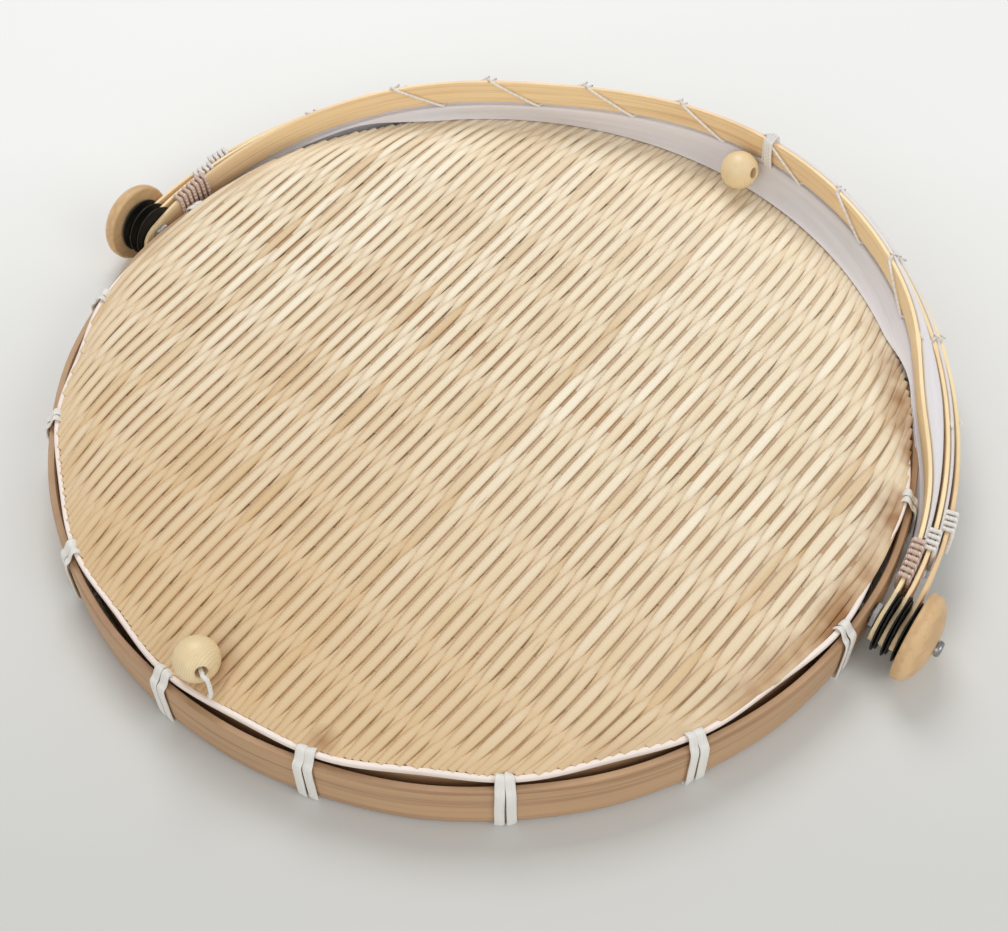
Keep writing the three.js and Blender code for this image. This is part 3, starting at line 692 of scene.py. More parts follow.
class TRAY_OT_rim(bpy.types.Operator):
    """Bends the hoops and the edge strip"""

    bl_idname = "tray.rim"
    bl_label = "Rim hoops"

    def execute(self, context):
        rim = context.scene.tray_rim
        colours = context.scene.tray_colours
        cane = cane_finish(
            "hoop_bamboo", colours.hoop, colours.hoop_dark,
            roughness=0.5, along=7, across=620, strength=0.85,
        )
        pale = cane_finish(
            "edge_strip_cane", colours.strip, toned(colours.strip, 0.72),
            roughness=0.6, along=8, across=1100, strength=0.4,
        )
        bend_hoop(
            "outer_hoop", cane, "bamboo_hoop", rim, rim.hoop_wall, hoop_high.z - hoop_low.z,
            top=lambda angle: hoop_high.z,
            outside=lambda angle: hoop_radius - HOOP_PULL * (1 - between_ties(rim, angle)),
            steps=256, rounding=0.2, number=1.3,
        )
        bend_hoop(
            "edge_strip", pale, "pale_strip", rim, rim.strip_wall, rim.strip_height,
            top=lambda angle: strip_top(rim, angle),
            outside=lambda angle: strip_inside(rim, angle) + rim.strip_wall,
            steps=320, rounding=0.22, number=5.7,
        )
        bend_hoop(
            "inner_hoop", cane, "bamboo_hoop", rim, rim.inner_wall, inner_high.z - inner_low.z,
            top=lambda angle: inner_high.z,
            outside=lambda angle: inner_radius,
            steps=192, rounding=0.2, number=8.2,
        )
        return {"FINISHED"}


def wrap_rim(bm, rim, angle, turn_number, dice):
    """One turn of a lashing round the hoops and over the edge strip"""
    half = rim.tie_thickness / 2
    under = half + 0.3 * MM
    inside = inner_radius - rim.inner_wall - half - 0.2 * MM
    outside = hoop_radius + half + 0.03 * MM
    over_strip = strip_inside(rim, angle) + 0.3 * MM
    top = strip_top(rim, angle) + half + 0.2 * MM
    slant = dice.uniform(-0.5, 0.5) * MM
    # Radius, height and how far the two turns spread
    corners = [
        (inside, 7 * MM, 1.0), (inside, 3 * MM, 1.0), (inside + 0.5 * MM, 1.1 * MM, 1.0),
        (inside + 1.8 * MM, under, 1.0), (outside - 1.8 * MM, under, 1.05),
        (outside - 0.5 * MM, 1.1 * MM, 1.05), (outside, 3 * MM, 1.05),
        (outside + 0.1 * MM, hoop_high.z * 0.55, 1.03), (outside, hoop_high.z - 1.2 * MM, 1.0),
        (hoop_radius - 1.2 * MM, hoop_high.z + 1.0 * MM, 0.95),
        (over_strip + rim.strip_wall, top, 0.86), (over_strip, top - 0.1 * MM, 0.86),
        (over_strip - 1.1 * MM, top - 2.2 * MM, 0.9),
        (inside + 0.4 * MM, inner_high.z - 1 * MM, 1.0), (inside, 7 * MM, 1.0),
    ]
    out = Vector((math.cos(angle), math.sin(angle), 0))
    side = Vector((-math.sin(angle), math.cos(angle), 0))
    points = []
    for n, (radius, height, spread) in enumerate(corners):
        drift = slant * (n / len(corners) - 0.5) * 2 + dice.uniform(-0.12, 0.12) * MM
        drift += spread * turn_number * (rim.tie_width + rim.tie_gap)
        points.append(tray_middle + out * radius + side * drift + Vector((0, 0, height)))
    path = smooth_path(points, per_span=6)
    unit = unit_bar(len(path) - 1, rounding=0.3, segments=2)
    strip_along(bm, path, -out, rim.tie_width, rim.tie_thickness, unit, dice.uniform(0, 50))


class TRAY_OT_lashings(bpy.types.Operator):
    """Ties the rim with two turns of white strip at each lashing"""

    bl_idname = "tray.lashings"
    bl_label = "Rim lashings"

    def execute(self, context):
        rim = context.scene.tray_rim
        material = lashing_finish(context.scene.tray_colours)
        dice = random.Random(11)
        for k in range(rim.tie_count):
            bm = bmesh.new()
            for turn_number in (-0.5, 0.5):
                wrap_rim(bm, rim, tie_angle(rim, k), turn_number, dice)
            number = f"{k + 1:02d}"
            show("lashing_" + number, bm, material, "tray", "white_lashing", "rim_tie_" + number, sharp=60)
        return {"FINISHED"}


# Woven mat

# How far the mat stays under its packed top
MAT_DROP = 0.2 * MM
# Room beside the rim in which the weave flattens, and the share of its swing that is left there
RIM_ROOM = 9 * MM
RIM_SWING = 0.25
# Gap from a weft to the edge strip in front of it, its overhang over the strip, and its least half length
WEFT_GAP = 0.1 * MM
WEFT_OVERHANG = 0.3 * MM
LEAST_HALF = 2 * MM
# Thickness of a warp as a share of a weft's, and its gaps to the edge at its ends and beside the last one
WARP_SHARE = 0.25
WARP_END_GAP = 1.5 * MM
WARP_SIDE_GAP = 4 * MM


def mat_level(weave, radius):
    """Height of the middle of the mat's thickness"""
    edge = max(0.0, radius - (mat_radius - weave.droop)) / weave.droop
    crown = (1 - weave.droop_share) * (radius / mat_radius) ** 2
    middle = mat_high.z - MAT_DROP - weave.rise - weave.weft_swing - weave.weft_thickness / 2
    return middle + weave.rise * (1 - crown - weave.droop_share * edge ** 2)


def on_mat(weave, u, v):
    """Place, seen from above, of a point u across the wefts and v along them"""
    cosine = math.cos(weave.weave_turn)
    sine = math.sin(weave.weave_turn)
    return Vector((u * cosine - v * sine, u * sine + v * cosine))


def weft_end(weave, rim, line, facing):
    """Distance along a weft to its end against the edge strip"""
    reach = mat_radius
    v = facing * math.sqrt(max(reach ** 2 - line ** 2, 0.0))
    for _ in range(3):
        u = line * (1 - weave.gather) * (1 + weave.fan * v / mat_radius)
        v = facing * math.sqrt(max(reach ** 2 - u ** 2, LEAST_HALF ** 2))
        place = on_mat(weave, u, v)
        angle = math.atan2(place.y, place.x)
        inside = strip_inside(rim, angle) - WEFT_GAP
        reach = inside + behind(rim, angle) * (strip_radius + WEFT_OVERHANG - inside)
    return v


def weft_wave(weave, i, v, radius):
    """1 where a weft rides over a warp and -1 where it passes under one, less near the rim"""
    phase = (v + mat_radius - weave.warp_first) / weave.warp_pitch + i
    swing = math.cos(math.pi * phase)
    rim_room = ease((mat_radius - radius) / RIM_ROOM)
    return math.copysign(abs(swing) ** 0.5, swing) * (RIM_SWING + (1 - RIM_SWING) * rim_room)


def weave_weft(bm, units, weave, rim, i, dice):
    """Adds one weft, a little unlike its neighbours"""
    line = i * weave.weft_pitch + dice.uniform(-0.12, 0.12) * MM
    wide = dice.uniform(0.93, 1.07)
    lift = dice.uniform(-0.1, 0.1) * MM
    roll = dice.uniform(-0.08, 0.08)
    front = weft_end(weave, rim, line, -1) - dice.uniform(0, 0.5) * MM
    back = weft_end(weave, rim, line, 1) + dice.uniform(0, 0.5) * MM
    length = back - front
    steps = max(4, round(length / weave.weft_step))
    if steps not in units:
        units[steps] = unit_bar(steps, rounding=0.42, cuts=0, segments=2)

    def place(along, across, through):
        v = front + length * along
        end = front if v < 0 else back
        near = max(0.0, abs(v) - (abs(end) - weave.gather_length)) / weave.gather_length
        u = line * (1 - weave.gather * near * near) * (1 + weave.fan * v / mat_radius)
        radius = math.hypot(u, v)
        wave = weft_wave(weave, i, v, radius)
        width = weave.weft_crossing + (weave.weft_crest - weave.weft_crossing) * abs(wave)
        side = across * (width * wide)
        spot = on_mat(weave, u + side, v)
        level = mat_level(weave, radius) + weave.weft_swing * wave + lift
        height = level + through * weave.weft_thickness + roll * side * wave
        return tray_middle + Vector((spot.x, spot.y, height))

    start = len(bm.verts)
    bend(bm, units[steps], place, length, weave.weft_crest, dice.uniform(0, 90))
    keep_depth(bm, start, weave)


def keep_depth(bm, start, weave):
    """Keeps how deep each point of a weft lies, for the painted shade in the grooves"""
    sunk_for_shade = bm.verts.layers.float["sunk_for_shade"]
    crest = weave.weft_swing + weave.weft_thickness / 2
    for vert in bm.verts[start:]:
        radius = (vert.co - tray_middle).to_2d().length
        vert[sunk_for_shade] = (mat_level(weave, radius) + crest - vert.co.z) / (2 * crest)


def weave_warps(weave):
    """All warps, lying in the middle of the mat's thickness"""
    bm = bmesh.new()
    unit = unit_bar(steps=60, rounding=0.25)
    v = weave.warp_first - mat_radius
    while v < mat_radius - WARP_SIDE_GAP:
        outer = abs(v) + weave.warp_width / 2
        half = math.sqrt(mat_radius ** 2 - outer ** 2) - WARP_END_GAP

        def place(along, across, through):
            spot = on_mat(weave, half * (2 * along - 1), v + across * weave.warp_width)
            level = mat_level(weave, spot.length) + through * WARP_SHARE * weave.weft_thickness
            return tray_middle + Vector((spot.x, spot.y, level))

        bend(bm, unit, place, 2 * half, weave.warp_width, v * 1000)
        v += weave.warp_pitch
    # Painted shade: the warps count as deepest, so they take the most brown
    sunk_for_shade = bm.verts.layers.float["sunk_for_shade"]
    for vert in bm.verts:
        vert[sunk_for_shade] = 1.0
    return bm


class TRAY_OT_mat(bpy.types.Operator):
    """Weaves the bamboo mat"""

    bl_idname = "tray.mat"
    bl_label = "Woven mat"

    def execute(self, context):
        weave = context.scene.tray_weave
        material = mat_finish(context.scene.tray_colours)
        dice = random.Random(3)
        odd = bmesh.new()
        even = bmesh.new()
        units = {}
        number = int(mat_radius / weave.weft_pitch)
        for i in range(-number, number + 1):
            weave_weft(odd if i % 2 else even, units, weave, context.scene.tray_rim, i, dice)
        show("mat_wefts_odd", odd, material, "tray", "bamboo_mat", "woven_mat", sharp=70)
        show("mat_wefts_even", even, material, "tray", "bamboo_mat", sharp=70)
        show("mat_warps", weave_warps(weave), material, "tray", "bamboo_mat", sharp=60)
        return {"FINISHED"}


# Ribs

# Angle at rest and start of the lacing in degrees, shape and place of the whipping in millimetres
RIBS = {
    "leading_rib": {
        "body": "leading_rib", "rest": 11, "draw": 3.2, "lean": 8, "pinch": 4.2,
        "lacing": 34, "whipping": 13, "turns": 7, "thread": "brown_twine",
    },
    "middle_rib": {
        "body": "middle_rib", "rest": 8, "draw": 1.6, "lean": 6.5, "pinch": 0,
        "lacing": 20, "whipping": 26, "turns": 4, "thread": "white_thread",
    },
    "back_rib": {
        "body": "tray", "rest": 5, "draw": 0, "lean": 5, "pinch": 0,
        "lacing": 20, "whipping": 36, "turns": 4, "thread": "white_thread",
    },
}
# Share of a rib's length in each tail
TAIL_SHARE = 0.03
# Places and half length of the cane's joints as shares of a rib, and how far they swell
CANE_JOINTS = (0.22, 0.47, 0.79)
JOINT_LENGTH = 0.006
JOINT_SWELL = 0.35
WHIPPING_THREAD = 1.5 * MM
WHIPPING_PITCH = 2.2 * MM
KNOT_THREAD = 1.3 * MM


class RibShape:
    """Centre line of one bent rib, in its own plane and in the frame"""

    def __init__(self, hood, name):
        facts = RIBS[name]
        self.hood = hood
        self.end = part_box(name)[1].x - hood.rib_thickness / 2
        self.draw = facts["draw"] * MM
        self.lean = facts["lean"] * MM
        self.pinch = facts["pinch"] * MM
        rest = Matrix.Rotation(math.radians(facts["rest"]), 4, "X")
        self.plane = Matrix.Translation(pivot_place) @ rest

    def centre(self, angle):
        rise = max(math.sin(angle), 0.0)
        dent = (angle - self.hood.pinch_angle) / self.hood.pinch_spread
        shoulder = self.hood.rib_shoulder * rise * (1 - rise) ** 3
        radius = self.end + shoulder - self.draw * rise ** 2 - self.pinch * math.exp(-dent ** 2)
        drawn = (angle - self.hood.dip_angle) / self.hood.dip_spread
        radius -= self.hood.rib_dip * math.exp(-drawn ** 2)
        return Vector((radius * math.cos(angle) + self.lean * rise ** 4, radius * rise, 0))

    def out(self, angle):
        step = 0.01
        along = self.centre(angle + step) - self.centre(angle - step)
        return Vector((along.y, -along.x, 0)).normalized()

    def beside(self, angle, outward, height):
        """Point beside the centre line, in the frame"""
        return self.plane @ (self.centre(angle) + self.out(angle) * outward + Vector((0, 0, height)))

    def tail(self, facing, back, outward, height):
        """Point beside the straight tail past a pivot, in the frame"""
        return self.plane @ Vector((facing * (self.end + outward), -back, height))


def cane_swell(angle):
    """Slight swelling at the joints of the cane"""
    away = [(angle / math.pi - joint) / JOINT_LENGTH for joint in CANE_JOINTS]
    return sum(JOINT_SWELL * math.exp(-gap ** 2) for gap in away)


def bend_rib(name, shape, hood, cane):
    def place(along, across, through):
        bend_share = (along - TAIL_SHARE) / (1 - 2 * TAIL_SHARE)
        outward = through * hood.rib_thickness
        height = across * hood.rib_width
        if 0 <= bend_share <= 1:
            angle = math.pi * bend_share
            swell = cane_swell(angle)
            return shape.beside(angle, outward * (1 + swell), height * (1 + 0.12 * swell))
        facing = 1 if bend_share < 0 else -1
        back = (TAIL_SHARE - along if facing > 0 else along - 1 + TAIL_SHARE) / TAIL_SHARE
        narrowed = hood.rib_width * math.sqrt(max(1.03 - back ** 2, 0.03))
        return shape.tail(facing, back * hood.rib_tail, outward, across * narrowed)

    bm = bmesh.new()
    unit = unit_bar(steps=260, rounding=0.16, cuts=3, segments=2)
    bend(bm, unit, place, math.pi * shape.end, hood.rib_width, len(name))
    show(name + "_bent", bm, cane, RIBS[name]["body"], "bamboo_rib", name, sharp=50)


def winding(shape, hood, thread, first, turn_angle, turns, slack=0.0, climb=1):
    """Path of a thread wound round a rib, its outer part climbing up or down the rib"""
    thick = hood.rib_thickness / 2
    wide = hood.rib_width / 2
    out = thick + thread / 2 + 0.1 * MM + slack
    past = wide + thread / 2 + 0.1 * MM + slack
    one_turn = [
        (out, -wide, 0.0), (out, wide, 0.4), (thick, past, 0.43), (-thick, past, 0.47),
        (-out, wide, 0.5), (-out, -wide, 0.9), (-thick, -past, 0.93), (thick, -past, 0.97),
    ]
    return [
        shape.beside(first + turn_angle * (n + turn_share), outward, climb * height)
        for n in range(turns)
        for outward, height, turn_share in one_turn
    ]


def lace_rib(name, shape, hood, cotton):
    """Spiral of thread along a rib, in step with the knot on the leading rib"""
    start = math.radians(RIBS[name]["lacing"])
    turn_angle = hood.lacing_pitch / shape.end
    leading_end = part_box("leading_rib")[1].x - hood.rib_thickness / 2
    knot = hood.lid_bead_angle + 4 * MM / leading_end - 0.2 * turn_angle
    before = math.floor((knot - start) / turn_angle)
    after = math.floor((math.pi - start - knot) / turn_angle)
    first = knot - before * turn_angle
    points = winding(shape, hood, hood.lacing_thread, first, turn_angle, before + after, climb=-1)
    bm = bmesh.new()
    cord_along(bm, points, per_span=5, diameter=hood.lacing_thread, sides=8)
    if name == "leading_rib":
        tie_knot(bm, shape, hood)
    show(name + "_thread", bm, cotton, RIBS[name]["body"], "white_thread", name + "_lacing", sharp=80)


def tie_knot(bm, shape, hood):
    """A few turns of thread beside the lid's bead, the last ones crossing the first"""
    first = hood.knot_angle
    for pitch, slack in ((1.5 * MM, 0.0), (-1.1 * MM, 0.9 * MM)):
        points = winding(shape, hood, KNOT_THREAD, first, pitch / shape.end, 3, slack)
        cord_along(bm, points, per_span=5, diameter=KNOT_THREAD, sides=8)
        first += 3.2 * MM / shape.end


def whip_rib(name, side, shape, hood, material):
    """Close turns of thread near a pivot"""
    facts = RIBS[name]
    turns = facts["turns"]
    turn_angle = WHIPPING_PITCH / shape.end
    first = facts["whipping"] * MM / shape.end
    start = first if side == "right" else math.pi - first - turn_angle * turns
    points = winding(shape, hood, WHIPPING_THREAD, start, turn_angle, turns)
    bm = bmesh.new()
    cord_along(bm, points, per_span=6, diameter=WHIPPING_THREAD, sides=10)
    node = f"{name}_{side}_whipping"
    show(f"{name}_{side}_wrap", bm, material, facts["body"], facts["thread"], node, sharp=80)


class TRAY_OT_ribs(bpy.types.Operator):
    """Bends the three ribs and winds their threads"""

    bl_idname = "tray.ribs"
    bl_label = "Hood ribs"

    def execute(self, context):
        hood = context.scene.tray_hood
        colours = context.scene.tray_colours
        cane = cane_finish(
            "rib_bamboo", colours.rib, colours.rib_dark,
            roughness=0.5, along=10, across=1200, strength=0.6,
        )
        cotton = cotton_finish("rib_cotton", colours, twist=900)
        twine = thread_finish("rib_twine", colours.twine, colours.twine_dark, twist=900)
        threads = {"white_thread": cotton, "brown_twine": twine}
        for name, facts in RIBS.items():
            shape = RibShape(hood, name)
            bend_rib(name, shape, hood, cane)
            lace_rib(name, shape, hood, cotton)
            for side in SIDES:
                whip_rib(name, side, shape, hood, threads[facts["thread"]])
        return {"FINISHED"}


# Beads

# Body that carries a bead, direction of its hole, and how far it hangs to one side in millimetres
BEADS = {
    "tray_bead": {"body": "tray", "bore": (0.80, -0.50, 0.33), "hung": (0.0, 3.6, -0.5)},
    "lid_bead": {"body": "leading_rib", "bore": (0.94, -0.12, 0.32), "hung": (0.0, 1.2, 2.2)},
}


def bead_middle(name):
    low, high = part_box(name)
    return (low + high) / 2 + Vector(BEADS[name]["hung"]) * MM


def turn_bead(name, hood, wood):
    opening = math.degrees(math.asin(hood.bead_bore / hood.bead_radius))
    ball = arc((0, 0), hood.bead_radius, -90 + opening, 90 - opening, 24)
    length = ball[-1][1]
    lip = 0.35 * MM
    inner = hood.bead_bore - lip
    profile = [(inner, -length + lip)] + ball + [(inner, length - lip)]
    turn_to = Vector(BEADS[name]["bore"]).to_track_quat("X", "Z").to_matrix().to_4x4()
    bm = bmesh.new()
    turned(bm, profile, Matrix.Translation(bead_middle(name)) @ turn_to, steps=48)
    show(name + "_turned", bm, wood, BEADS[name]["body"], "bead_wood", name)


def hang_bead(name, stations, hood, cotton, per_span):
    """Cord through stations into a bead"""
    bm = bmesh.new()
    cord_along(bm, stations, per_span, diameter=hood.bead_cord, sides=10)
    show(name + "_loop", bm, cotton, BEADS[name]["body"], "white_thread", name + "_cord", sharp=80)


def tray_cord_stations(rim, hood):
    """From the bead on the tray over the edge strip"""
    middle = bead_middle("tray_bead")
    bore = Vector(BEADS["tray_bead"]["bore"]).normalized()
    angle = math.atan2(middle.y - tray_middle.y, middle.x) + 8.6 * MM / strip_radius
    seat = ring_point(strip_inside(rim, angle) + 0.3 * MM, angle, strip_high.z + 0.6 * MM)
    return [
        middle, middle + bore * hood.bead_radius, middle + bore * (hood.bead_radius + 1.6 * MM),
        middle + bore * (hood.bead_radius + 2.4 * MM) + Vector((0.9, 0.4, -1.6)) * MM,
        seat + Vector((0.3, 0.5, 2.0)) * MM, seat, seat + Vector((-1.5, 1.0, -1.6)) * MM,
    ]


def lid_cord_stations(hood):
    """From the knot on the leading rib, behind the lid's bead and into it"""
    leading = RibShape(hood, "leading_rib")
    middle = bead_middle("lid_bead")
    bore = Vector(BEADS["lid_bead"]["bore"]).normalized()
    inward = -hood.rib_thickness / 2 - hood.bead_cord / 2 - 0.1 * MM
    seat = leading.beside(hood.knot_angle + 1.5 * MM / leading.end, inward, -4.5 * MM)
    away = (seat - middle - bore * (seat - middle).dot(bore)).normalized()
    far = middle - bore * hood.bead_radius
    return [
        seat, seat.lerp(middle + away * (hood.bead_radius + 1.2 * MM), 0.6),
        middle + away * (hood.bead_radius + 1.0 * MM) - bore * 3 * MM,
        far + away * 3.4 * MM - bore * 0.6 * MM, far + away * 0.6 * MM - bore * 1.2 * MM,
        far + bore * 1.0 * MM, middle, middle + bore * 0.35 * hood.bead_radius,
    ]


class TRAY_OT_beads(bpy.types.Operator):
    """Turns the two beads and ties their cords"""

    bl_idname = "tray.beads"
    bl_label = "Beads"

    def execute(self, context):
        hood = context.scene.tray_hood
        colours = context.scene.tray_colours
        wood = turned_wood_finish(
            "bead_wood", colours.bead, colours.bead_dark, roughness=0.42, scale=(420, 160, 260)
        )
        cotton = cotton_finish("bead_cotton", colours, twist=700)
        for name in BEADS:
            turn_bead(name, hood, wood)
        stations = tray_cord_stations(context.scene.tray_rim, hood)
        hang_bead("tray_bead", stations, hood, cotton, per_span=10)
        hang_bead("lid_bead", lid_cord_stations(hood), hood, cotton, per_span=8)
        return {"FINISHED"}


# Pivots

PIVOT_BORE = 2.3 * MM


def pivot_span(node, facing):
    """Start, end and radius of a packed piece on the pivot axis, counted outwards"""
    low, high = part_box(node)
    start, end = sorted((facing * low.x, facing * high.x))
    return start, end, (high.z - low.z) / 2


def pivot_axes(start, facing):
    """Axes of a turned piece that starts at a distance out along the pivot"""
    turn_round = Matrix.Rotation(0 if facing > 0 else math.pi, 4, "Z")
    return Matrix.Translation((facing * start, pivot_place.y, pivot_place.z)) @ turn_round


def turn_screw(side, facing, steel):
    node = f"{side}_pivot_screw"
    start, end, radius = pivot_span(node, facing)
    shaft = 2 * MM
    head = 1.7 * MM
    curve = 1.1 * MM
    neck = end - start - head
    top = neck + head
    profile = [(0, 0), (shaft * 0.8, 0), (shaft, 0.4 * MM), (shaft, neck), (radius, neck)]
    profile += arc((radius - curve, top - curve), curve, 0, 80, 6)
    profile += [(1.15 * MM, top), (1.05 * MM, top - 0.9 * MM), (0, top - 1.1 * MM)]
    bm = bmesh.new()
    turned(bm, profile, pivot_axes(start, facing), steps=32)
    show(f"{side}_screw", bm, steel, "tray", "steel", node, sharp=35)


def turn_nut(node, facing, steel):
    start, end, radius = pivot_span(node, facing)
    width = end - start
    edge = 0.35 * MM
    profile = [
        (PIVOT_BORE, 0), (radius - edge, 0), (radius, edge),
        (radius, width - edge), (radius - edge, width), (PIVOT_BORE, width),
    ]
    bm = bmesh.new()
    turned(bm, profile, pivot_axes(start, facing), steps=6)
    show(node + "_turned", bm, steel, "tray", "steel", node, sharp=20)


def turn_washer(node, facing, black):
    """Two thin leaves, slightly tipped against each other"""
    start, end, radius = pivot_span(node, facing)
    width = end - start
    leaf = 0.42 * width
    rim = leaf / 2
    bm = bmesh.new()
    for tip, offset, trim in ((-0.6, 0.0, 0.0), (0.6, width - leaf, 0.9 * MM)):
        outer = radius - trim
        profile = [(PIVOT_BORE, 0), (outer * 0.62, 0), (outer * 0.66, 0.06 * MM)]
        profile += arc((outer - rim, rim), rim, -90, 90, 6)
        profile += [(outer * 0.66, leaf - 0.06 * MM), (outer * 0.62, leaf), (PIVOT_BORE, leaf)]
        tipped = Matrix.Rotation(math.radians(tip), 4, "Z")
        turned(bm, profile, pivot_axes(start + offset, facing) @ tipped, steps=56)
    show(node + "_leaves", bm, black, "tray", "black_washer", node, sharp=35)


def turn_button(node, facing, wood):
    start, end, radius = pivot_span(node, facing)
    height = end - start
    edge = 1.1 * MM
    foot = 2.2 * MM
    angles = [math.radians(2 + 80 * i / 18) for i in range(19)]
    profile = [(PIVOT_BORE, 0), (radius - edge, 0)]
    profile += arc((radius - edge, edge), edge, -80, 0, 5)
    profile += [(radius * math.cos(a), foot + (height - foot) * math.sin(a)) for a in angles]
    profile.append((PIVOT_BORE, height))
    bm = bmesh.new()
    turned(bm, profile, pivot_axes(start, facing), steps=64)
    show(node + "_turned", bm, wood, "tray", "button_wood", node, sharp=35)


class TRAY_OT_pivots(bpy.types.Operator):
    """Turns the screws, nuts, washers and wooden buttons of both pivots"""

    bl_idname = "tray.pivots"
    bl_label = "Pivots"

    def execute(self, context):
        colours = context.scene.tray_colours
        steel = metal_finish("pivot_steel", colours.steel, roughness=0.38, metallic=1.0)
        black = metal_finish("washer_black", colours.washer, roughness=0.45, metallic=0.7)
        wood = turned_wood_finish(
            "button_wood", colours.button, colours.button_dark, roughness=0.5, scale=(60, 130, 420)
        )
        for side, facing in SIDES.items():
            turn_screw(side, facing, steel)
            for part in ("inner_nut", "spacer_nut"):
                turn_nut(f"{side}_{part}", facing, steel)
            for n in (1, 2, 3):
                turn_washer(f"{side}_washer_{n}", facing, black)
            turn_button(f"{side}_wooden_button", facing, wood)
        return {"FINISHED"}


# Gauze

COLUMNS = 150
ROWS_PER_FOLD = 6
HEM = 5.2 * MM
# Depth under a panel's first rib where its folds end, and from which it follows its second rib alone
FOLD_DEPTH = {"front_gauze": 15.4 * MM, "rear_gauze": 14.2 * MM}
FOLLOW_DEPTH = {"front_gauze": 15.0 * MM, "rear_gauze": 13.8 * MM}


def polar(point):
    """Distance from the tray's middle, angle round it and height of a point"""
    flat = (point - tray_middle).to_2d()
    return flat.length, math.atan2(flat.y, flat.x), point.z


def tucked_lines(hood, shape, beyond, angle):
    """First lines of a panel: a fold beside the rib, fuller at the right, then under the rib"""
    gap = (beyond.centre(angle) - shape.centre(angle)).dot(shape.out(angle)) - hood.rib_thickness
    full = ease((hood.gauze_full - angle) / math.radians(30)) * max(gap - 1.4 * MM, 0.0)
    # Outward and height in millimetres, and share of the fullness
    beside = (
        (1.0, 3.4, 0.0), (1.2, 4.6, 0.1), (1.45, 4.4, 0.65), (1.45, 3.4, 1.0),
        (1.4, 0.0, 0.9), (1.3, -5.0, 0.3), (0.6, -7.3, 0.0),
    )
    lines = [
        polar(shape.beside(angle, outward * MM + puffed * full, height * MM))
        for outward, height, puffed in beside
    ]
    return [(radius, height) for radius, _, height in lines], lines[0][1]


def panel_end(name, hood, shape, beyond, angle):
    """Radius and height at which a panel ends on its second rib, and the lowest height of its folds"""
    end = beyond.beside(angle, -hood.rib_thickness / 2 - 0.2 * MM, -HEM)
    below = (shape.plane @ (shape.centre(angle) - Vector((0, 0, FOLD_DEPTH[name])))).z
    return polar(end)[0], end.z, min(end.z, below)


def front_lines(name, hood, leading, middle, angle):
    """Lines of the front panel at an angle: its drape, then the band of its folds, then its end"""
    tuck, turned_to = tucked_lines(hood, leading, middle, angle)
    radius, _, height = polar(leading.beside(angle, -1.4 * MM, -7.0 * MM))
    end_radius, _, low = panel_end(name, hood, leading, middle, angle)
    outside = hoop_radius + 2.1 * MM
    rest = hood.gauze_rest
    layer = 0.8 * MM
    draped = ease((height - rest) / (5 * MM))
    lip = radius - 0.4 * MM + draped * (hood.gauze_lip - radius)
    fall = layer + draped * max(0.0, height - rest - layer)
    back_out = max(radius, outside)
    drape = tuck + [
        (radius, height), (radius + 0.3 * (lip - radius), height - 0.45 * fall),
        (radius + 0.8 * (lip - radius), height - 0.92 * fall), (lip, height - fall),
        (0.5 * (lip + back_out), height - fall - 0.25 * MM), (back_out, height - fall - 0.5 * MM),
    ]
    top = height - fall - layer
    folds = (outside, outside + 3.4 * MM, top, min(low, top - 7 * MM))
    return drape, folds, (end_radius, low), turned_to


def rear_lines(name, hood, middle, back, angle):
    """Lines of the rear panel at an angle"""
    drape, turned_to = tucked_lines(hood, middle, back, angle)
    end_radius, end_height, low = panel_end(name, hood, middle, back, angle)
    radius, top = drape[-1]
    inside = radius - 2.6 * MM
    folds = (inside, inside + 3.6 * MM, top - 0.3 * MM, min(low, end_height - 9 * MM))
    return drape, folds, (end_radius, low), turned_to


def section_line(drape, folds, end, turned_to, shape, rows, column):
    """Points of one line across a panel, from its first rib to its second"""
    low_radius, high_radius, top, bottom = folds
    tilt = math.sin(turned_to) * shape.plane.to_euler().x
    middle = 0.5 * (low_radius + high_radius)
    swell = 0.5 + 0.12 * noise.noise(Vector((0.09 * column, 2.7, 0.0)))
    line = smooth_path([Vector((radius, height)) for radius, height in drape], per_span=4)
    for row in range(rows + 1):
        share_down = row / rows
        swing = -math.cos(2 * math.pi * row / ROWS_PER_FOLD)
        reach = (high_radius - low_radius) * swell * swing
        line.append(Vector((middle - reach, top + (bottom - top) * share_down - tilt * reach)))
    line.append(Vector((0.5 * (line[-1].x + end[0]), 0.5 * (line[-1].y + end[1]))))
    line.append(Vector(end))
    return [ring_point(point.x, turned_to, point.y) for point in line]


def gather_panel(name, hood, lines_at, near, far, cloth):
    """Makes the panel between two ribs and lets it follow both"""
    shape = RibShape(hood, near)
    beyond = RibShape(hood, far)
    rows = hood.gauze_folds * ROWS_PER_FOLD
    lines = []
    for column in range(COLUMNS + 1):
        angle = hood.gauze_start + (math.pi - 2 * hood.gauze_start) * column / COLUMNS
        lines.append(section_line(*lines_at(name, hood, shape, beyond, angle), shape, rows, column))
    last_row = len(lines[0]) - 1
    bm = bmesh.new()
    bmesh.ops.create_grid(bm, x_segments=COLUMNS, y_segments=last_row, size=1)
    grain = bm.verts.layers.float_vector.new("grain")
    for vert in bm.verts:
        column = round((vert.co.x + 1) / 2 * COLUMNS)
        row = round((vert.co.y + 1) / 2 * last_row)
        across = path_length(lines[column][: row + 1])
        vert[grain] = (column / COLUMNS * math.pi * hoop_radius, across, 0)
        vert.co = lines[column][row]
    bmesh.ops.recalc_face_normals(bm, faces=bm.faces)
    panel = add_object(name, bm, cloth)
    panel.data.shade_smooth()
    bodies = [RIBS[near]["body"], RIBS[far]["body"]]
    down = shape.plane.to_3x3() @ Vector((0, 0, -1))
    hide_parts(name + "_panel")
    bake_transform(panel, *bodies, pivot_place + down * (HEM + 0.8 * MM), pivot_place + down * FOLLOW_DEPTH[name])


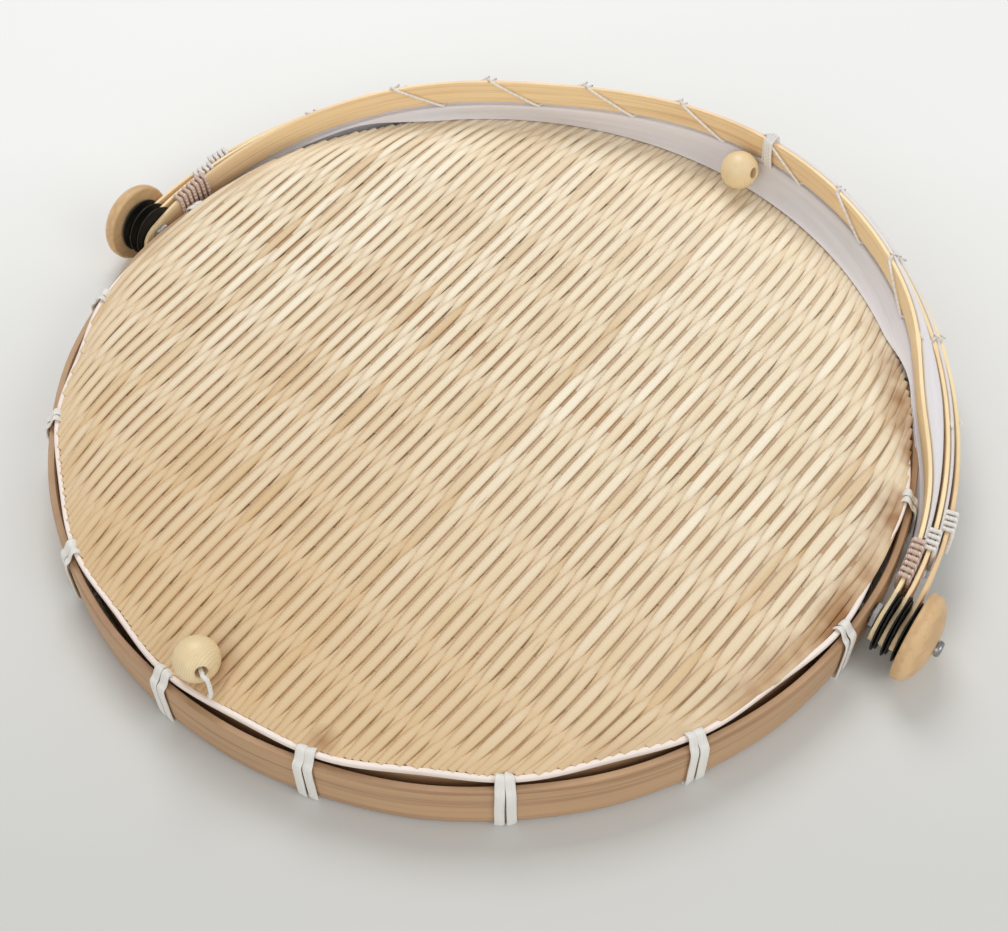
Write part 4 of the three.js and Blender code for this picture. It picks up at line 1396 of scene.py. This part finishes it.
class TRAY_OT_gauze(bpy.types.Operator):
    """Gathers the two gauze panels under the ribs"""

    bl_idname = "tray.gauze"
    bl_label = "Gauze"

    def execute(self, context):
        hood = context.scene.tray_hood
        cloth = gauze_finish(context.scene.tray_colours)
        gather_panel("front_gauze", hood, front_lines, "leading_rib", "middle_rib", cloth)
        gather_panel("rear_gauze", hood, rear_lines, "middle_rib", "back_rib", cloth)
        return {"FINISHED"}


# Stage

# Camera: the point that it looks at, its distance, angles, roll and lens
TARGET = Vector((13.76 * MM, -12.97 * MM, 0))
DISTANCE = 531.8 * MM
AZIMUTH = math.radians(34.61)
ELEVATION = math.radians(52.18)
ROLL = math.radians(0.06)
LENS = 53.75
# Name, place, width in metres and watts of each lamp
LAMPS = (
    ("key_softbox", (-0.6, 0.55, 1.3), 0.8, 10.2),
    ("side_fill", (1.1, -0.15, 0.8), 0.8, 4.6),
    ("front_fill", (0.3, -2.4, 1.2), 1.5, 16.0),
)
ROOM_COLOUR = (0.985, 0.99, 1.0, 1)
ROOM_STRENGTH = 0.46
# Direction on the floor in which it gets paler: painted light toward the back, painted shade toward the front
FLOOR_BACK = (-0.568, 0.823, 0)


def lay_floor(colours):
    finish = Finish("pale_floor", roughness=0.75)
    inputs = {0: finish.places(), 1: FLOOR_BACK}
    depth = finish.node("VectorMath", "Value", inputs, operation="DOT_PRODUCT")
    # Painted shade and light: the floor goes from a darker front to a paler back
    finish.paint(finish.mix(finish.steps(depth, -0.17, 0.15), colours.floor_front_shade, colours.floor))
    bm = bmesh.new()
    bmesh.ops.create_grid(bm, x_segments=2, y_segments=2, size=4)
    add_object("floor", bm, finish.material)


def light_room(scene):
    world = bpy.data.worlds.new("soft_room")
    world.use_nodes = True
    background = world.node_tree.nodes["Background"]
    background.inputs["Color"].default_value = ROOM_COLOUR
    background.inputs["Strength"].default_value = ROOM_STRENGTH
    scene.world = world
    for name, place, width, power in LAMPS:
        lamp = bpy.data.lights.new(name, "AREA")
        lamp.energy = power
        lamp.size = width
        obj = bpy.data.objects.new(name, lamp)
        obj.location = place
        obj.rotation_euler = (-Vector(place)).to_track_quat("-Z", "Y").to_euler()
        scene.collection.objects.link(obj)


def set_camera(scene):
    level = math.cos(ELEVATION)
    heading = Vector((math.sin(AZIMUTH) * level, -math.cos(AZIMUTH) * level, math.sin(ELEVATION)))
    data = bpy.data.cameras.new("photo_camera")
    data.sensor_width = 36
    data.lens = LENS
    camera = bpy.data.objects.new("photo_camera", data)
    camera.location = TARGET + heading * DISTANCE
    look = (-heading).to_track_quat("-Z", "Y").to_matrix()
    camera.rotation_euler = (look @ Matrix.Rotation(ROLL, 3, "Z")).to_euler()
    scene.collection.objects.link(camera)
    scene.camera = camera


class TRAY_OT_stage(bpy.types.Operator):
    """Lays the floor, hangs the lights and sets the camera"""

    bl_idname = "tray.stage"
    bl_label = "Stage"

    def execute(self, context):
        context.scene.view_settings.view_transform = "Standard"
        lay_floor(context.scene.tray_colours)
        light_room(context.scene)
        set_camera(context.scene)
        return {"FINISHED"}


# Add-on

OPERATORS = (
    TRAY_OT_mat,
    TRAY_OT_rim,
    TRAY_OT_lashings,
    TRAY_OT_beads,
    TRAY_OT_pivots,
    TRAY_OT_ribs,
    TRAY_OT_gauze,
    TRAY_OT_stage,
)
SETTINGS = {
    "tray_weave": TrayWeave,
    "tray_rim": TrayRim,
    "tray_hood": TrayHood,
    "tray_colours": TrayColours,
}


class TRAY_PT_panel(bpy.types.Panel):
    """Lists the pieces of the tray and their sizes"""

    bl_label = "Bamboo Tray"
    bl_idname = "TRAY_PT_panel"
    bl_space_type = "VIEW_3D"
    bl_region_type = "UI"
    bl_category = "Bamboo Tray"

    def draw(self, context):
        for operator in OPERATORS:
            self.layout.operator(operator.bl_idname)
        for name, group in SETTINGS.items():
            box = self.layout.box()
            box.label(text=group.__doc__)
            for key in group.__annotations__:
                box.prop(getattr(context.scene, name), key)


def register():
    for group in (*SETTINGS.values(), *OPERATORS, TRAY_PT_panel):
        bpy.utils.register_class(group)
    for name, group in SETTINGS.items():
        setattr(bpy.types.Scene, name, PointerProperty(type=group))


def unregister():
    for name in SETTINGS:
        delattr(bpy.types.Scene, name)
    for group in (TRAY_PT_panel, *reversed(OPERATORS), *SETTINGS.values()):
        bpy.utils.unregister_class(group)


def main():
    register()
    bpy.ops.tray.mat()
    bpy.ops.tray.rim()
    bpy.ops.tray.lashings()
    bpy.ops.tray.beads()
    bpy.ops.tray.pivots()
    bpy.ops.tray.ribs()
    bpy.ops.tray.gauze()
    bpy.ops.tray.stage()


if __name__ == "__main__":
    main()
